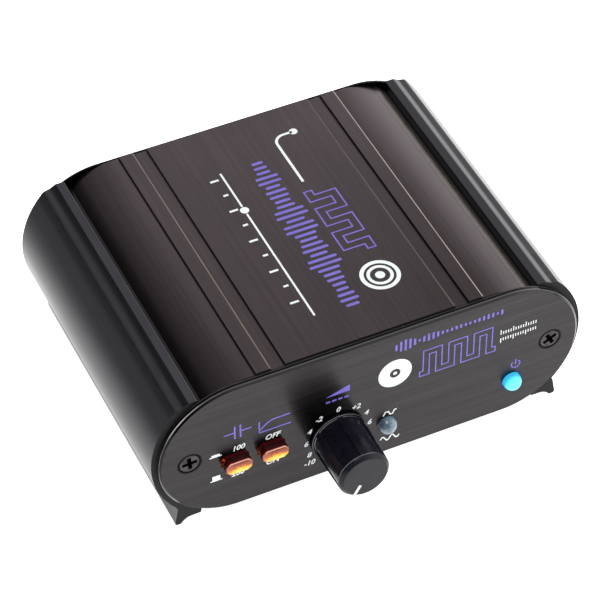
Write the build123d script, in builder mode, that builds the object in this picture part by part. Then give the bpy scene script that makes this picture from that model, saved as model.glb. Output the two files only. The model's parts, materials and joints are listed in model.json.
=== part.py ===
from build123d import *
import os
from math import sin, cos, radians, sqrt

os.makedirs("parts", exist_ok=True)

# ---------------------------------------------------------------- driving dimensions (mm)
# Overall: a stadium-section desktop case lying along Y, front panel at -Y, feet on z = 0.
CASE_HALF_W = 60.325      # half of the case's full width over its rounded sides
Z_AXIS = 23.55            # height of the stadium's centre above the ground
KNOB_OUT = 16.3           # how far the knob stands out of the front panel
BODY_D = 90.8             # front panel's face to rear panel's face
JACK_OUT = 9.1            # how far the phono socket shells stand out of the rear panel
Y_F = -(KNOB_OUT + BODY_D + JACK_OUT) / 2 + KNOB_OUT   # front panel's outer face
Y_R = Y_F + BODY_D                                     # rear panel's outer face

PANEL_W, PANEL_H, PANEL_T, PANEL_CH = 117.82, 42.68, 1.25, 0.58
PANEL_R = PANEL_H / 2
GASKET_T = 0.7                                         # black strip between the front panel and the case
CASE_Y0, CASE_Y1 = Y_F + PANEL_T + GASKET_T, Y_R - PANEL_T   # the extrusion's two ends

TOP = 21.95               # plateau, above the axis
GROOVE = 21.30            # floor of the two top grooves
PLATEAU_X, RIDGE_X0, RIDGE_X1 = 23.55, 27.35, 31.50
SHOULDER_C, SHOULDER_R = (33.8, 1.4), 20.05            # convex brushed shoulder
RAIL_X0, RAIL_X1, RAIL_Z = 47.1, 49.5, 19.4            # flat top of the side rail
CORNER = (53.2, 17.9)                                  # outer corner of the rail
FOOT_CORNER = (53.4, -17.7)
FOOT_Z = -Z_AXIS
WALL = 2.3

SCREW_X = 50.75           # panel screws, on the axis' height
HEAD_R, SHANK_R = 2.9, 1.45
BOSS_R, BOSS_BORE_R = 3.1, 1.5

BOARD_TOP, BOARD_T, BOARD_HALF_W = -13.6, 1.6, 51.6    # heights are measured from the axis
BOARD_Y0, BOARD_Y1 = Y_F + 2.4, Y_F + 87.6

KNOB_X, KNOB_Z = -9.97, -7.9
KNOB_ANGLE = 210.0        # pointer, clockwise from the top seen from the front: fully down
BUTTON_X = (-38.5, -28.5)
BUTTON_Z = -4.15
BUTTON_W, BUTTON_H, BUTTON_CUT, BUTTON_OUT = 7.1, 4.1, 1.1, 2.9
LAMP_X = (3.9, 40.0)
LAMP_Z, LAMP_R, LAMP_TIP = -10.5, 2.5, 3.0

JACK_Z = -5.0
INPUT_X = (-29.0, -15.0)
OUTPUT_X = (13.0, 27.0)
GROUND_X, GROUND_Z = -1.0, -2.0
DC_X, DC_Z = 42.0, -7.1


def fp(y, x=0.0, z=0.0):
    """Plane facing the front at depth y: local x is +X, local y is +Z; extrudes towards -Y."""
    return Plane(origin=(x, y, Z_AXIS + z), x_dir=(1, 0, 0), z_dir=(0, -1, 0))


def turn(x, z):
    """Plane that holds an axis along Y at (x, z): local x is the radius, local y is +Y."""
    return Plane(origin=(x, 0, Z_AXIS + z), x_dir=(1, 0, 0), z_dir=(0, 0, 1))


def y_axis(x, z):
    return Axis((x, 0, Z_AXIS + z), (0, 1, 0))


def near(items, points, tol=0.06):
    return [v for v in items if any(abs(v.X - a) < tol and abs(v.Y - b) < tol for a, b in points)]


def save(part, name):
    part.label = name
    export_step(part, f"parts/{name}.step")


def octagon(w, h, c):
    a, b = w / 2, h / 2
    return [(-a + c, b), (a - c, b), (a, b - c), (a, -b + c), (a - c, -b), (-a + c, -b), (-a, -b + c), (-a, b - c), (-a + c, b)]


def arc_mid(p, q, c, r, up=True):
    mx, mz = (p[0] + q[0]) / 2 - c[0], (p[1] + q[1]) / 2 - c[1]
    n = sqrt(mx * mx + mz * mz)
    return (c[0] + mx / n * r, c[1] + mz / n * r)


# ---------------------------------------------------------------- case
def on_circle(c, r, x):
    return (x, c[1] + sqrt(r * r - (x - c[0]) ** 2))


sh0 = on_circle(SHOULDER_C, SHOULDER_R, RIDGE_X1)
sh1 = on_circle(SHOULDER_C, SHOULDER_R, 46.2)
BOT_C = (PANEL_W / 2 - PANEL_R, 0.0)
BOT_R = 21.95
bot_side = (47.1, -sqrt(BOT_R ** 2 - (47.1 - BOT_C[0]) ** 2))

with BuildPart() as case_extrusion:
    with BuildSketch(fp(CASE_Y1)) as section:
        with BuildLine():
            Polyline((0, TOP), (PLATEAU_X, TOP), (PLATEAU_X, GROOVE), (RIDGE_X0, GROOVE),
                     (RIDGE_X0, TOP), (RIDGE_X1, TOP), sh0)
            ThreePointArc(sh0, arc_mid(sh0, sh1, SHOULDER_C, SHOULDER_R), sh1)
            Polyline(sh1, (RAIL_X0, RAIL_Z - 0.05), (RAIL_X1, RAIL_Z))
            # the rail falls to a shallow valley and rises to its outer corner
            Spline((RAIL_X1, RAIL_Z), (50.35, 18.95), (51.3, 18.45), (52.3, 18.22), CORNER)
            ThreePointArc(CORNER, (CASE_HALF_W, 0.0), FOOT_CORNER)
            Polyline(FOOT_CORNER, (53.75, -18.2), (54.65, -22.9), (54.35, FOOT_Z), (53.0, FOOT_Z))
            ThreePointArc((53.0, FOOT_Z), (51.75, -22.25), (49.9, -21.75))
            Polyline((49.9, -21.75), (47.5, -21.7), bot_side)
            ThreePointArc(bot_side, arc_mid(bot_side, (BOT_C[0], -BOT_R), BOT_C, BOT_R), (BOT_C[0], -BOT_R))
            Line((BOT_C[0], -BOT_R), (0, -BOT_R))
            mirror(about=Plane.YZ)
        make_face()
        for s in (1, -1):
            fillet(near(section.vertices(), [(s * PLATEAU_X, TOP), (s * RIDGE_X0, TOP), (s * RIDGE_X1, TOP)]), 0.15)
            fillet(near(section.vertices(), [(s * RAIL_X0, RAIL_Z - 0.05), (s * RAIL_X1, RAIL_Z), (s * CORNER[0], CORNER[1])]), 0.35)
            fillet(near(section.vertices(), [(s * 54.65, -22.9), (s * 54.35, FOOT_Z), (s * 47.5, -21.7)]), 0.25)
            fillet(near(section.vertices(), [(s * sh1[0], sh1[1])]), 0.5)
        # cavity that takes the circuit board and everything on it
        c0 = (SHOULDER_C[0], SHOULDER_C[1] + SHOULDER_R - 2.15)
        c1 = on_circle(SHOULDER_C, SHOULDER_R - 2.15, 45.3)
        with BuildLine():
            Line((0, c0[1]), c0)
            ThreePointArc(c0, arc_mid(c0, c1, SHOULDER_C, SHOULDER_R - 2.15), c1)
            Polyline(c1, (51.6, 15.4))
            ThreePointArc((51.6, 15.4), (CASE_HALF_W - WALL, 0.0), (51.8, -15.6))
            Polyline((51.8, -15.6), (46.9, -17.35))
            ThreePointArc((46.9, -17.35), arc_mid((46.9, -17.35), (BOT_C[0], -19.7), BOT_C, 19.7), (BOT_C[0], -19.7))
            Line((BOT_C[0], -19.7), (0, -19.7))
            mirror(about=Plane.YZ)
        make_face(mode=Mode.SUBTRACT)
        for s in (1, -1):
            # rib pair that makes the slot for the board's edge
            with Locations((s * 52.0, BOARD_TOP + 0.75), (s * 51.9, BOARD_TOP - BOARD_T - 0.75)):
                Rectangle(3.4, 1.3)
            # screw channel on a web from the side wall
            with Locations((s * 55.6, 0)):
                Rectangle(5.6, 2.6)
            with Locations((s * SCREW_X, 0)):
                Circle(BOSS_R)
                Circle(BOSS_BORE_R, mode=Mode.SUBTRACT)
    extrude(amount=CASE_Y1 - CASE_Y0)

save(case_extrusion.part, "case_extrusion")


# ---------------------------------------------------------------- end panels
def outer_rim(part, y):
    """Outer outline edges of a panel at depth y."""
    e = part.edges().filter_by(lambda q: abs(q.center().Y - y) < 1e-4)
    return [q for q in e if (q.geom_type == GeomType.LINE and q.length > 60)
            or (q.geom_type == GeomType.CIRCLE and q.radius > 18)]


with BuildPart() as front_panel:
    with BuildSketch(fp(Y_F + PANEL_T)):
        SlotOverall(PANEL_W, PANEL_H)
        for x in BUTTON_X:
            # the caps' outline, 0.3 mm larger all round
            with BuildLine():
                Polyline(*[(x + a, BUTTON_Z + b) for a, b in octagon(BUTTON_W + 0.6, BUTTON_H + 0.6, BUTTON_CUT + 0.18)])
            make_face(mode=Mode.SUBTRACT)
        with Locations((KNOB_X, KNOB_Z)):
            Circle(3.6, mode=Mode.SUBTRACT)
        for x in LAMP_X:
            with Locations((x, LAMP_Z)):
                Circle(LAMP_R + 0.12, mode=Mode.SUBTRACT)
    extrude(amount=PANEL_T)
    chamfer(outer_rim(front_panel, Y_F), PANEL_CH)
    for x in (-SCREW_X, SCREW_X):
        with BuildSketch(fp(Y_F, x)):
            Circle(HEAD_R + 0.1)
        extrude(amount=-PANEL_T, taper=44.0, mode=Mode.SUBTRACT)
        with BuildSketch(fp(Y_F, x)):
            Circle(1.65)
        extrude(amount=-PANEL_T, mode=Mode.SUBTRACT)
save(front_panel.part, "front_panel")

with BuildPart() as front_gasket:
    with BuildSketch(fp(Y_F + PANEL_T + GASKET_T)):
        SlotOverall(PANEL_W, PANEL_H)
        SlotOverall(PANEL_W - 5.2, PANEL_H - 5.2, mode=Mode.SUBTRACT)
    extrude(amount=GASKET_T)
    chamfer(outer_rim(front_gasket, Y_F + PANEL_T) + outer_rim(front_gasket, Y_F + PANEL_T + GASKET_T), 0.18)
save(front_gasket.part, "front_gasket")

with BuildPart() as rear_panel:
    with BuildSketch(fp(Y_R)):
        SlotOverall(PANEL_W, PANEL_H)
        for x in INPUT_X + OUTPUT_X:
            with Locations((x, JACK_Z)):
                Circle(4.95, mode=Mode.SUBTRACT)
        with Locations((GROUND_X, GROUND_Z)):
            Circle(2.1, mode=Mode.SUBTRACT)
        with Locations((DC_X, DC_Z)):
            Circle(4.85, mode=Mode.SUBTRACT)
    extrude(amount=PANEL_T)
    chamfer(outer_rim(rear_panel, Y_R), PANEL_CH)
    for x in (-SCREW_X, SCREW_X):
        with BuildSketch(fp(Y_R, x)):
            Circle(HEAD_R + 0.1)
        extrude(amount=PANEL_T, taper=44.0, mode=Mode.SUBTRACT)
        with BuildSketch(fp(Y_R, x)):
            Circle(1.65)
        extrude(amount=PANEL_T, mode=Mode.SUBTRACT)
save(rear_panel.part, "rear_panel")


# ---------------------------------------------------------------- panel screws: countersunk, cross recess
def screw_profile(y, d):
    """Half profile (radius, y) of a countersunk screw whose head is at y and whose shank runs along d."""
    return [(0, y + d * 0.05), (HEAD_R - 0.27, y + d * 0.05), (HEAD_R - 0.17, y + d * 0.12), (HEAD_R - 1.2, y + d * 1.2),
            (SHANK_R, y + d * 1.2), (SHANK_R, y + d * 9.4), (SHANK_R - 0.7, y + d * 10.4), (0, y + d * 10.4), (0, y + d * 0.05)]


with BuildPart() as front_panel_screws:
    for x, turned in ((-SCREW_X, 5.0), (SCREW_X, 28.0)):
        with BuildSketch(turn(x, 0)):
            with BuildLine():
                Polyline(*screw_profile(Y_F, 1))
            make_face()
        revolve(axis=y_axis(x, 0))
        with BuildSketch(fp(Y_F, x)):
            Rectangle(4.1, 1.15, rotation=turned)
            Rectangle(1.15, 4.1, rotation=turned)
        extrude(amount=-1.3, taper=20.0, mode=Mode.SUBTRACT)
save(front_panel_screws.part, "front_panel_screws")

with BuildPart() as rear_panel_screws:
    for x, turned in ((-SCREW_X, 17.0), (SCREW_X, -9.0)):
        with BuildSketch(turn(x, 0)):
            with BuildLine():
                Polyline(*screw_profile(Y_R, -1))
            make_face()
        revolve(axis=y_axis(x, 0))
        with BuildSketch(fp(Y_R, x)):
            Rectangle(4.1, 1.15, rotation=turned)
            Rectangle(1.15, 4.1, rotation=turned)
        extrude(amount=1.3, taper=20.0, mode=Mode.SUBTRACT)
save(rear_panel_screws.part, "rear_panel_screws")

# ---------------------------------------------------------------- gain control
KNOB_BACK = Y_F - 0.4
KNOB_FACE = Y_F - KNOB_OUT
FLUTE_Y0, FLUTE_Y1 = Y_F - 1.15, Y_F - 14.95
FLUTE_FLOOR = 6.82        # radius of the six wide flutes' floor; narrow ribs stand between them
BUSH_TIP = Y_F - 3.7
ANG = radians(KNOB_ANGLE)
POINTER_DIR = (sin(ANG), cos(ANG))


def knob_outline():
    Line((0, KNOB_FACE), (5.95, KNOB_FACE))
    ThreePointArc((5.95, KNOB_FACE), (6.09, KNOB_FACE + 0.03), (6.22, KNOB_FACE + 0.12))
    Line((6.22, KNOB_FACE + 0.12), (6.84, KNOB_FACE + 0.70))
    ThreePointArc((6.84, KNOB_FACE + 0.70), (7.01, KNOB_FACE + 0.97), (7.08, KNOB_FACE + 1.35))
    Polyline((7.08, KNOB_FACE + 1.35), (7.42, FLUTE_Y0), (7.55, FLUTE_Y0), (7.62, FLUTE_Y0 + 0.1),
             (7.62, KNOB_BACK - 0.1), (7.52, KNOB_BACK), (0, KNOB_BACK), (0, KNOB_FACE))


with BuildPart() as gain_knob:
    with BuildSketch(turn(KNOB_X, KNOB_Z)):
        with BuildLine():
            knob_outline()
        make_face()
    revolve(axis=y_axis(KNOB_X, KNOB_Z))
    # six wide flutes between narrow ribs
    with BuildSketch(fp(FLUTE_Y0, KNOB_X, KNOB_Z)):
        Circle(9.5)
        Circle(FLUTE_FLOOR, mode=Mode.SUBTRACT)
        for k in range(6):
            c, d = cos(radians(120 - KNOB_ANGLE + 60 * k)), sin(radians(120 - KNOB_ANGLE + 60 * k))
            with BuildLine():
                Polyline(*[(r * c - w * d, r * d + w * c) for r, w in ((6.4, -1.05), (7.7, -0.5), (9.8, -0.5), (9.8, 0.5), (7.7, 0.5), (6.4, 1.05), (6.4, -1.05))])
            make_face(mode=Mode.SUBTRACT)
    extrude(amount=FLUTE_Y0 - FLUTE_Y1, mode=Mode.SUBTRACT)
    # hollow back over the bushing and its nut, then the shaft's bore
    with BuildSketch(fp(KNOB_BACK, KNOB_X, KNOB_Z)):
        Circle(6.2)
    extrude(amount=2.9, mode=Mode.SUBTRACT)
    with BuildSketch(fp(KNOB_BACK, KNOB_X, KNOB_Z)):
        Circle(3.9)
    extrude(amount=4.2, mode=Mode.SUBTRACT)
    with BuildSketch(fp(KNOB_BACK, KNOB_X, KNOB_Z)):
        Circle(3.02)
    extrude(amount=12.8, mode=Mode.SUBTRACT)
    # seat of the pointer
    with BuildSketch(fp(KNOB_FACE, KNOB_X, KNOB_Z)):
        with Locations((POINTER_DIR[0] * 5.6, POINTER_DIR[1] * 5.6)):
            Rectangle(5.4, 0.85, rotation=90 - KNOB_ANGLE)
    extrude(amount=-0.45, mode=Mode.SUBTRACT)
save(gain_knob.part, "gain_knob")

with BuildPart() as gain_knob_pointer:
    with BuildSketch(turn(KNOB_X, KNOB_Z)):
        with BuildLine():
            knob_outline()
        make_face()
    revolve(axis=y_axis(KNOB_X, KNOB_Z))
    with BuildSketch(fp(KNOB_FACE, KNOB_X, KNOB_Z)):
        with Locations((POINTER_DIR[0] * 5.6, POINTER_DIR[1] * 5.6)):
            Rectangle(5.4, 0.85, rotation=90 - KNOB_ANGLE)
    extrude(amount=-0.45, mode=Mode.INTERSECT)
save(gain_knob_pointer.part, "gain_knob_pointer")

with BuildPart() as gain_pot_shaft:
    with BuildSketch(fp(Y_F + 3.6, KNOB_X, KNOB_Z)):
        Circle(3.0)
    extrude(amount=3.6 + 12.9)
    chamfer(gain_pot_shaft.faces().sort_by(Axis.Y)[0].edges(), 0.35)
    # grip slot across the shaft's tip
    with BuildSketch(fp(Y_F - 12.9, KNOB_X, KNOB_Z)):
        Rectangle(8, 0.9, rotation=90 - KNOB_ANGLE)
    extrude(amount=-6.0, mode=Mode.SUBTRACT)
save(gain_pot_shaft.part, "gain_pot_shaft")

with BuildPart() as gain_pot_wiper:
    with BuildSketch(fp(Y_F + 4.3, KNOB_X, KNOB_Z)):
        Circle(3.8)
    extrude(amount=0.7)
    with BuildSketch(fp(Y_F + 4.85, KNOB_X, KNOB_Z)):
        with Locations((POINTER_DIR[0] * 2.9, POINTER_DIR[1] * 2.9)):
            Rectangle(1.2, 0.6, rotation=90 - KNOB_ANGLE)
        with Locations((POINTER_DIR[0] * 1.3, POINTER_DIR[1] * 1.3)):
            Rectangle(1.0, 0.6, rotation=90 - KNOB_ANGLE)
    extrude(amount=0.55)
save(gain_pot_wiper.part, "gain_pot_wiper")

with BuildPart() as gain_pot_bushing:
    with BuildSketch(fp(Y_F + 3.0, KNOB_X, KNOB_Z)):
        Circle(4.15)
    extrude(amount=0.6)
    with BuildSketch(turn(KNOB_X, KNOB_Z)):
        with BuildLine():
            pts = [(0, Y_F + 2.4), (3.5, Y_F + 2.4), (3.5, Y_F + 0.1)]
            y = Y_F + 0.1
            while y - 0.75 > BUSH_TIP + 0.2:
                pts += [(3.18, y - 0.375), (3.5, y - 0.75)]
                y -= 0.75
            pts += [(3.2, BUSH_TIP), (0, BUSH_TIP), (0, Y_F + 2.4)]
            Polyline(*pts)
        make_face()
    revolve(axis=y_axis(KNOB_X, KNOB_Z))
    with BuildSketch(fp(Y_F + 3.2, KNOB_X, KNOB_Z)):
        Circle(3.05)
    extrude(amount=8, mode=Mode.SUBTRACT)
save(gain_pot_bushing.part, "gain_pot_bushing")

with BuildPart() as gain_pot_housing:
    with BuildSketch(fp(Y_F + 6.0, KNOB_X, KNOB_Z)):
        with Locations((0, -0.1)):
            RectangleRounded(9.8, 11.0, 0.6)
    extrude(amount=4.7)
    with BuildSketch(fp(Y_F + 6.0, KNOB_X, KNOB_Z)):
        Circle(4.3)
    extrude(amount=3.6, mode=Mode.SUBTRACT)
    with BuildSketch(fp(Y_F + 6.0, KNOB_X, KNOB_Z)):
        Circle(3.55)
    extrude(amount=8, mode=Mode.SUBTRACT)
save(gain_pot_housing.part, "gain_pot_housing")

with BuildPart() as gain_pot_track:
    with BuildSketch(fp(Y_F + 6.0, KNOB_X, KNOB_Z)):
        Circle(4.25)
        Circle(0.9, mode=Mode.SUBTRACT)
    extrude(amount=0.8)
save(gain_pot_track.part, "gain_pot_track")

with BuildPart() as gain_pot_cover:
    with BuildSketch(fp(Y_F + 6.5, KNOB_X, KNOB_Z)):
        with Locations((0, -0.1)):
            Rectangle(9.6, 10.8)
        with Locations((0, -4.3)):
            Rectangle(7.4, 2.6, mode=Mode.SUBTRACT)
    extrude(amount=0.5)
    for s in (1, -1):
        # side legs that stand in the board
        with BuildSketch(fp(Y_F + 6.5, KNOB_X + s * 5.15, KNOB_Z)):
            with Locations((0, -3.9)):
                Rectangle(0.5, 10.2)
        extrude(amount=1.6)
        with BuildSketch(fp(Y_F + 6.5, KNOB_X + s * 5.0, KNOB_Z)):
            with Locations((0, -0.1)):
                Rectangle(0.8, 2.6)
        extrude(amount=0.5)
save(gain_pot_cover.part, "gain_pot_cover")

POT_PINS = [(KNOB_X + d, Y_F + 8.6) for d in (-2.5, 0, 2.5)]
with BuildPart() as gain_pot_terminals:
    for d in (-2.5, 0, 2.5):
        with BuildSketch(fp(Y_F + 8.8, KNOB_X + d, 0)):
            with Locations((0, KNOB_Z - 4.1)):
                Rectangle(0.7, 0.4)
        extrude(amount=2.75)
        with BuildSketch(fp(Y_F + 8.8, KNOB_X + d, 0)):
            with Locations((0, (KNOB_Z - 3.9 - 16.2) / 2)):
                Rectangle(0.7, 16.2 + KNOB_Z - 3.9)
        extrude(amount=0.4)
save(gain_pot_terminals.part, "gain_pot_terminals")

with BuildPart() as gain_pot_washer:
    with BuildSketch(fp(Y_F, KNOB_X, KNOB_Z)):
        Circle(5.4)
        Circle(3.6, mode=Mode.SUBTRACT)
    extrude(amount=0.5)
save(gain_pot_washer.part, "gain_pot_washer")

with BuildPart() as gain_pot_nut:
    with BuildSketch(fp(Y_F - 0.5, KNOB_X, KNOB_Z)):
        RegularPolygon(5.7, 6)
        Circle(3.55, mode=Mode.SUBTRACT)
    extrude(amount=1.9)
save(gain_pot_nut.part, "gain_pot_nut")


# ---------------------------------------------------------------- push switches
CAP_FACE, CAP_BACK = Y_F - BUTTON_OUT, Y_F + 3.9
BODY_Y0, BODY_Y1 = Y_F + 7.6, Y_F + 23.6
PLUNGER_BACK = Y_F + 14.0
CAVITY_Y1 = Y_F + 20.4
SWITCH_TOP = -1.4
SWITCH_PINS = []
for name, bx in (("input_cap", BUTTON_X[0]), ("filter", BUTTON_X[1])):
    with BuildPart() as cap:
        with BuildSketch(fp(CAP_BACK, bx, BUTTON_Z)):
            with BuildLine():
                Polyline(*octagon(BUTTON_W, BUTTON_H, BUTTON_CUT))
            make_face()
        extrude(amount=CAP_BACK - CAP_FACE)
        fillet(cap.faces().sort_by(Axis.Y)[0].edges(), 0.28)
        with BuildSketch(fp(CAP_BACK, bx, BUTTON_Z)):
            with BuildLine():
                Polyline(*octagon(BUTTON_W - 1.4, BUTTON_H - 1.4, BUTTON_CUT - 0.4))
            make_face()
        extrude(amount=CAP_BACK - CAP_FACE - 1.1, mode=Mode.SUBTRACT)
    save(cap.part, f"{name}_button_cap")

    with BuildPart() as plunger:
        with BuildSketch(fp(PLUNGER_BACK, bx, BUTTON_Z)):
            RectangleRounded(3.4, 2.6, 0.3)
        extrude(amount=PLUNGER_BACK - (CAP_FACE + 1.15))
        # flange that the housing's front wall keeps in
        with BuildSketch(fp(BODY_Y0 + 2.3, bx, BUTTON_Z)):
            Rectangle(5.0, 4.0)
        extrude(amount=1.1)
    save(plunger.part, f"{name}_switch_plunger")

    with BuildPart() as body:
        zc = (SWITCH_TOP + BOARD_TOP + 0.25) / 2
        hz = SWITCH_TOP - BOARD_TOP - 0.25
        with BuildSketch(fp(BODY_Y1, bx, 0)):
            with Locations((0, zc)):
                RectangleRounded(9.2, hz, 0.4)
        extrude(amount=BODY_Y1 - BODY_Y0)
        with BuildSketch(fp(CAVITY_Y1, bx, BUTTON_Z)):
            Rectangle(5.4, 4.4)
        extrude(amount=CAVITY_Y1 - BODY_Y0 - 1.0, mode=Mode.SUBTRACT)
        with BuildSketch(fp(CAVITY_Y1, bx, BUTTON_Z)):
            Rectangle(3.7, 2.9)
        extrude(amount=CAVITY_Y1 - BODY_Y0 + 1, mode=Mode.SUBTRACT)
    save(body.part, f"{name}_switch_body")

    with BuildPart() as spring:
        n = 6.0
        coil = Helix(pitch=(CAVITY_Y1 - PLUNGER_BACK - 0.5) / n, height=CAVITY_Y1 - PLUNGER_BACK - 0.5, radius=1.0,
                     center=(bx, PLUNGER_BACK + 0.25, Z_AXIS + BUTTON_Z), direction=(0, 1, 0), mode=Mode.PRIVATE)
        with BuildSketch(Plane(origin=coil @ 0, z_dir=coil % 0)):
            Circle(0.16)
        sweep(path=coil, is_frenet=True)
    save(spring.part, f"{name}_switch_spring")

    pins = [(bx + dx, BODY_Y0 + 3.0 + 2.5 * k) for dx in (-3.0, 3.0) for k in range(5)]
    SWITCH_PINS += pins
    with BuildPart() as terminals:
        for px, py in pins:
            with BuildSketch(Plane.XY.offset(Z_AXIS + BOARD_TOP + 0.25)):
                with Locations((px, py)):
                    Rectangle(0.4, 0.8)
            extrude(amount=-2.9)
    save(terminals.part, f"{name}_switch_terminals")

# ---------------------------------------------------------------- lamps
LAMP_PINS = []
for name, lx in (("signal", LAMP_X[0]), ("power", LAMP_X[1])):
    with BuildPart() as lens:
        yc = Y_F - (LAMP_TIP - LAMP_R)
        with BuildSketch(turn(lx, LAMP_Z)):
            with BuildLine():
                ThreePointArc((0, yc - LAMP_R), (LAMP_R * sin(radians(45)), yc - LAMP_R * cos(radians(45))), (LAMP_R, yc))
                Polyline((LAMP_R, yc), (LAMP_R, Y_F + 4.5), (2.9, Y_F + 4.5), (2.9, Y_F + 5.5), (0, Y_F + 5.5), (0, yc - LAMP_R))
            make_face()
        revolve(axis=y_axis(lx, LAMP_Z))
    save(lens.part, f"{name}_lamp")

with BuildPart() as lamp_leads:
    for lx in LAMP_X:
        LAMP_PINS += [(lx - 1.27, Y_F + 8.4), (lx + 1.27, Y_F + 8.4)]
        for d in (-1.27, 1.27):
            with BuildSketch(fp(Y_F + 8.65, lx + d, 0)):
                with Locations((0, LAMP_Z)):
                    Rectangle(0.5, 0.5)
            extrude(amount=3.15)
            with BuildSketch(fp(Y_F + 8.65, lx + d, 0)):
                with Locations((0, (LAMP_Z + 0.25 - 16.4) / 2)):
                    Rectangle(0.5, 16.4 + LAMP_Z + 0.25)
            extrude(amount=0.5)
save(lamp_leads.part, "lamp_leads")

# ---------------------------------------------------------------- phono sockets
SHELL_R, SHELL_IN, SHELL_BODY_R = 4.15, 3.65, 3.95
JACK_BLOCK_Y0 = Y_R - PANEL_T - 12.0
JACK_PINS = []
for name, xs in (("input", INPUT_X), ("output", OUTPUT_X)):
    xm = (xs[0] + xs[1]) / 2
    with BuildPart() as block:
        with BuildSketch(fp(Y_R - PANEL_T, xm, 0)):
            with Locations((0, (BOARD_TOP + 0.05 + 1.0) / 2)):
                RectangleRounded(25.0, 1.0 - BOARD_TOP - 0.05, 0.7)
        extrude(amount=12.0)
        for x in xs:
            # collar that fills the panel's hole
            with BuildSketch(fp(Y_R - PANEL_T, x, JACK_Z)):
                Circle(4.85)
            extrude(amount=-(PANEL_T + 0.7))
        chamfer([e for e in block.edges().filter_by(GeomType.CIRCLE) if abs(e.center().Y - (Y_R + 0.7)) < 1e-3], 0.25)
        for x in xs:
            with BuildSketch(fp(Y_R + 2, x, JACK_Z)):
                Circle(SHELL_BODY_R + 0.02)
            extrude(amount=2 + PANEL_T + 7.0, mode=Mode.SUBTRACT)
    save(block.part, f"{name}_jack_housing")
    for side, x in (("left", xs[0]), ("right", xs[1])):
        with BuildPart() as shell:
            with BuildSketch(turn(x, JACK_Z)):
                y0, y1 = Y_R - PANEL_T - 6.9, Y_R + JACK_OUT
                with BuildLine():
                    Polyline((SHELL_IN, y0), (SHELL_BODY_R, y0), (SHELL_BODY_R, Y_R + 1.0), (SHELL_R, Y_R + 1.0), (SHELL_R, y1 - 0.25),
                             (SHELL_R - 0.22, y1), (SHELL_IN + 0.1, y1), (SHELL_IN, y1 - 0.12), (SHELL_IN, y0))
                make_face()
            revolve(axis=y_axis(x, JACK_Z))
        save(shell.part, f"{name}_{side}_jack_shell")
        with BuildPart() as insulator:
            with BuildSketch(turn(x, JACK_Z)):
                y0, y1 = Y_R - PANEL_T - 6.9, Y_R + JACK_OUT - 0.45
                with BuildLine():
                    Polyline((2.0, y0), (SHELL_IN - 0.02, y0), (SHELL_IN - 0.02, y1), (2.35, y1), (1.75, y1 - 0.6), (1.75, y1 - 1.0),
                             (2.0, y1 - 1.0), (2.0, y0))
                make_face()
            revolve(axis=y_axis(x, JACK_Z))
        save(insulator.part, f"{name}_{side}_jack_insulator")
    with BuildPart() as contacts:
        for x in xs:
            with BuildSketch(turn(x, JACK_Z)):
                y0, y1 = Y_R - PANEL_T - 6.9, Y_R + JACK_OUT - 1.5
                with BuildLine():
                    Polyline((1.65, y0), (1.95, y0), (1.95, y1), (1.65, y1), (1.65, y0))
                make_face()
            revolve(axis=y_axis(x, JACK_Z))
            for dx, dy in ((0, -9.2), (-4.0, -4.0), (4.0, -4.0)):
                JACK_PINS.append((x + dx, Y_R - PANEL_T + dy))
                with BuildSketch(Plane.XY.offset(Z_AXIS + BOARD_TOP + 0.05)):
                    with Locations((x + dx, Y_R - PANEL_T + dy)):
                        Rectangle(1.0, 0.5)
                extrude(amount=-2.8)
    save(contacts.part, f"{name}_jack_contacts")

# ---------------------------------------------------------------- ground terminal
POST_R, PITCH = 1.95, 0.7
with BuildPart() as ground_post:
    with BuildSketch(turn(GROUND_X, GROUND_Z)):
        with BuildLine():
            y = Y_R + 8.8
            pts = [(0, y), (1.5, y), (POST_R, y - 0.45)]
            y -= 0.45
            while y - PITCH > Y_R - PANEL_T - 4.6:
                pts += [(POST_R - 0.38, y - PITCH / 2), (POST_R, y - PITCH)]
                y -= PITCH
            pts += [(POST_R, Y_R - PANEL_T - 5.2), (3.4, Y_R - PANEL_T - 5.2), (3.4, Y_R - PANEL_T - 7.0), (0, Y_R - PANEL_T - 7.0), (0, Y_R + 8.8)]
            Polyline(*pts)
        make_face()
    revolve(axis=y_axis(GROUND_X, GROUND_Z))
save(ground_post.part, "ground_post")

with BuildPart() as ground_post_nut:
    with BuildSketch(fp(Y_R - PANEL_T - 0.05, GROUND_X, GROUND_Z)):
        RegularPolygon(3.9, 6)
        Circle(2.0, mode=Mode.SUBTRACT)
    extrude(amount=2.4)
save(ground_post_nut.part, "ground_post_nut")

with BuildPart() as ground_lug:
    with BuildSketch(fp(Y_R - PANEL_T - 2.5, GROUND_X, GROUND_Z)):
        Circle(3.6)
        with Locations((0, -6.5)):
            Rectangle(2.2, 10.0)
        Circle(2.05, mode=Mode.SUBTRACT)
    extrude(amount=0.4)
    with BuildSketch(Plane.XY.offset(Z_AXIS + GROUND_Z - 11.4)):
        with Locations((GROUND_X, Y_R - PANEL_T - 2.7)):
            Rectangle(1.0, 0.4)
    extrude(amount=-2.6)
save(ground_lug.part, "ground_lug")
JACK_PINS.append((GROUND_X, Y_R - PANEL_T - 2.7))

with BuildPart() as ground_spacer:
    with BuildSketch(fp(Y_R - PANEL_T - 2.95, GROUND_X, GROUND_Z)):
        Circle(3.2)
        Circle(2.05, mode=Mode.SUBTRACT)
    extrude(amount=2.2)
save(ground_spacer.part, "ground_spacer")

with BuildPart() as ground_washer:
    with BuildSketch(fp(Y_R + 0.65, GROUND_X, GROUND_Z)):
        Circle(4.3)
        Circle(2.15, mode=Mode.SUBTRACT)
    extrude(amount=0.6)
save(ground_washer.part, "ground_washer")

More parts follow.
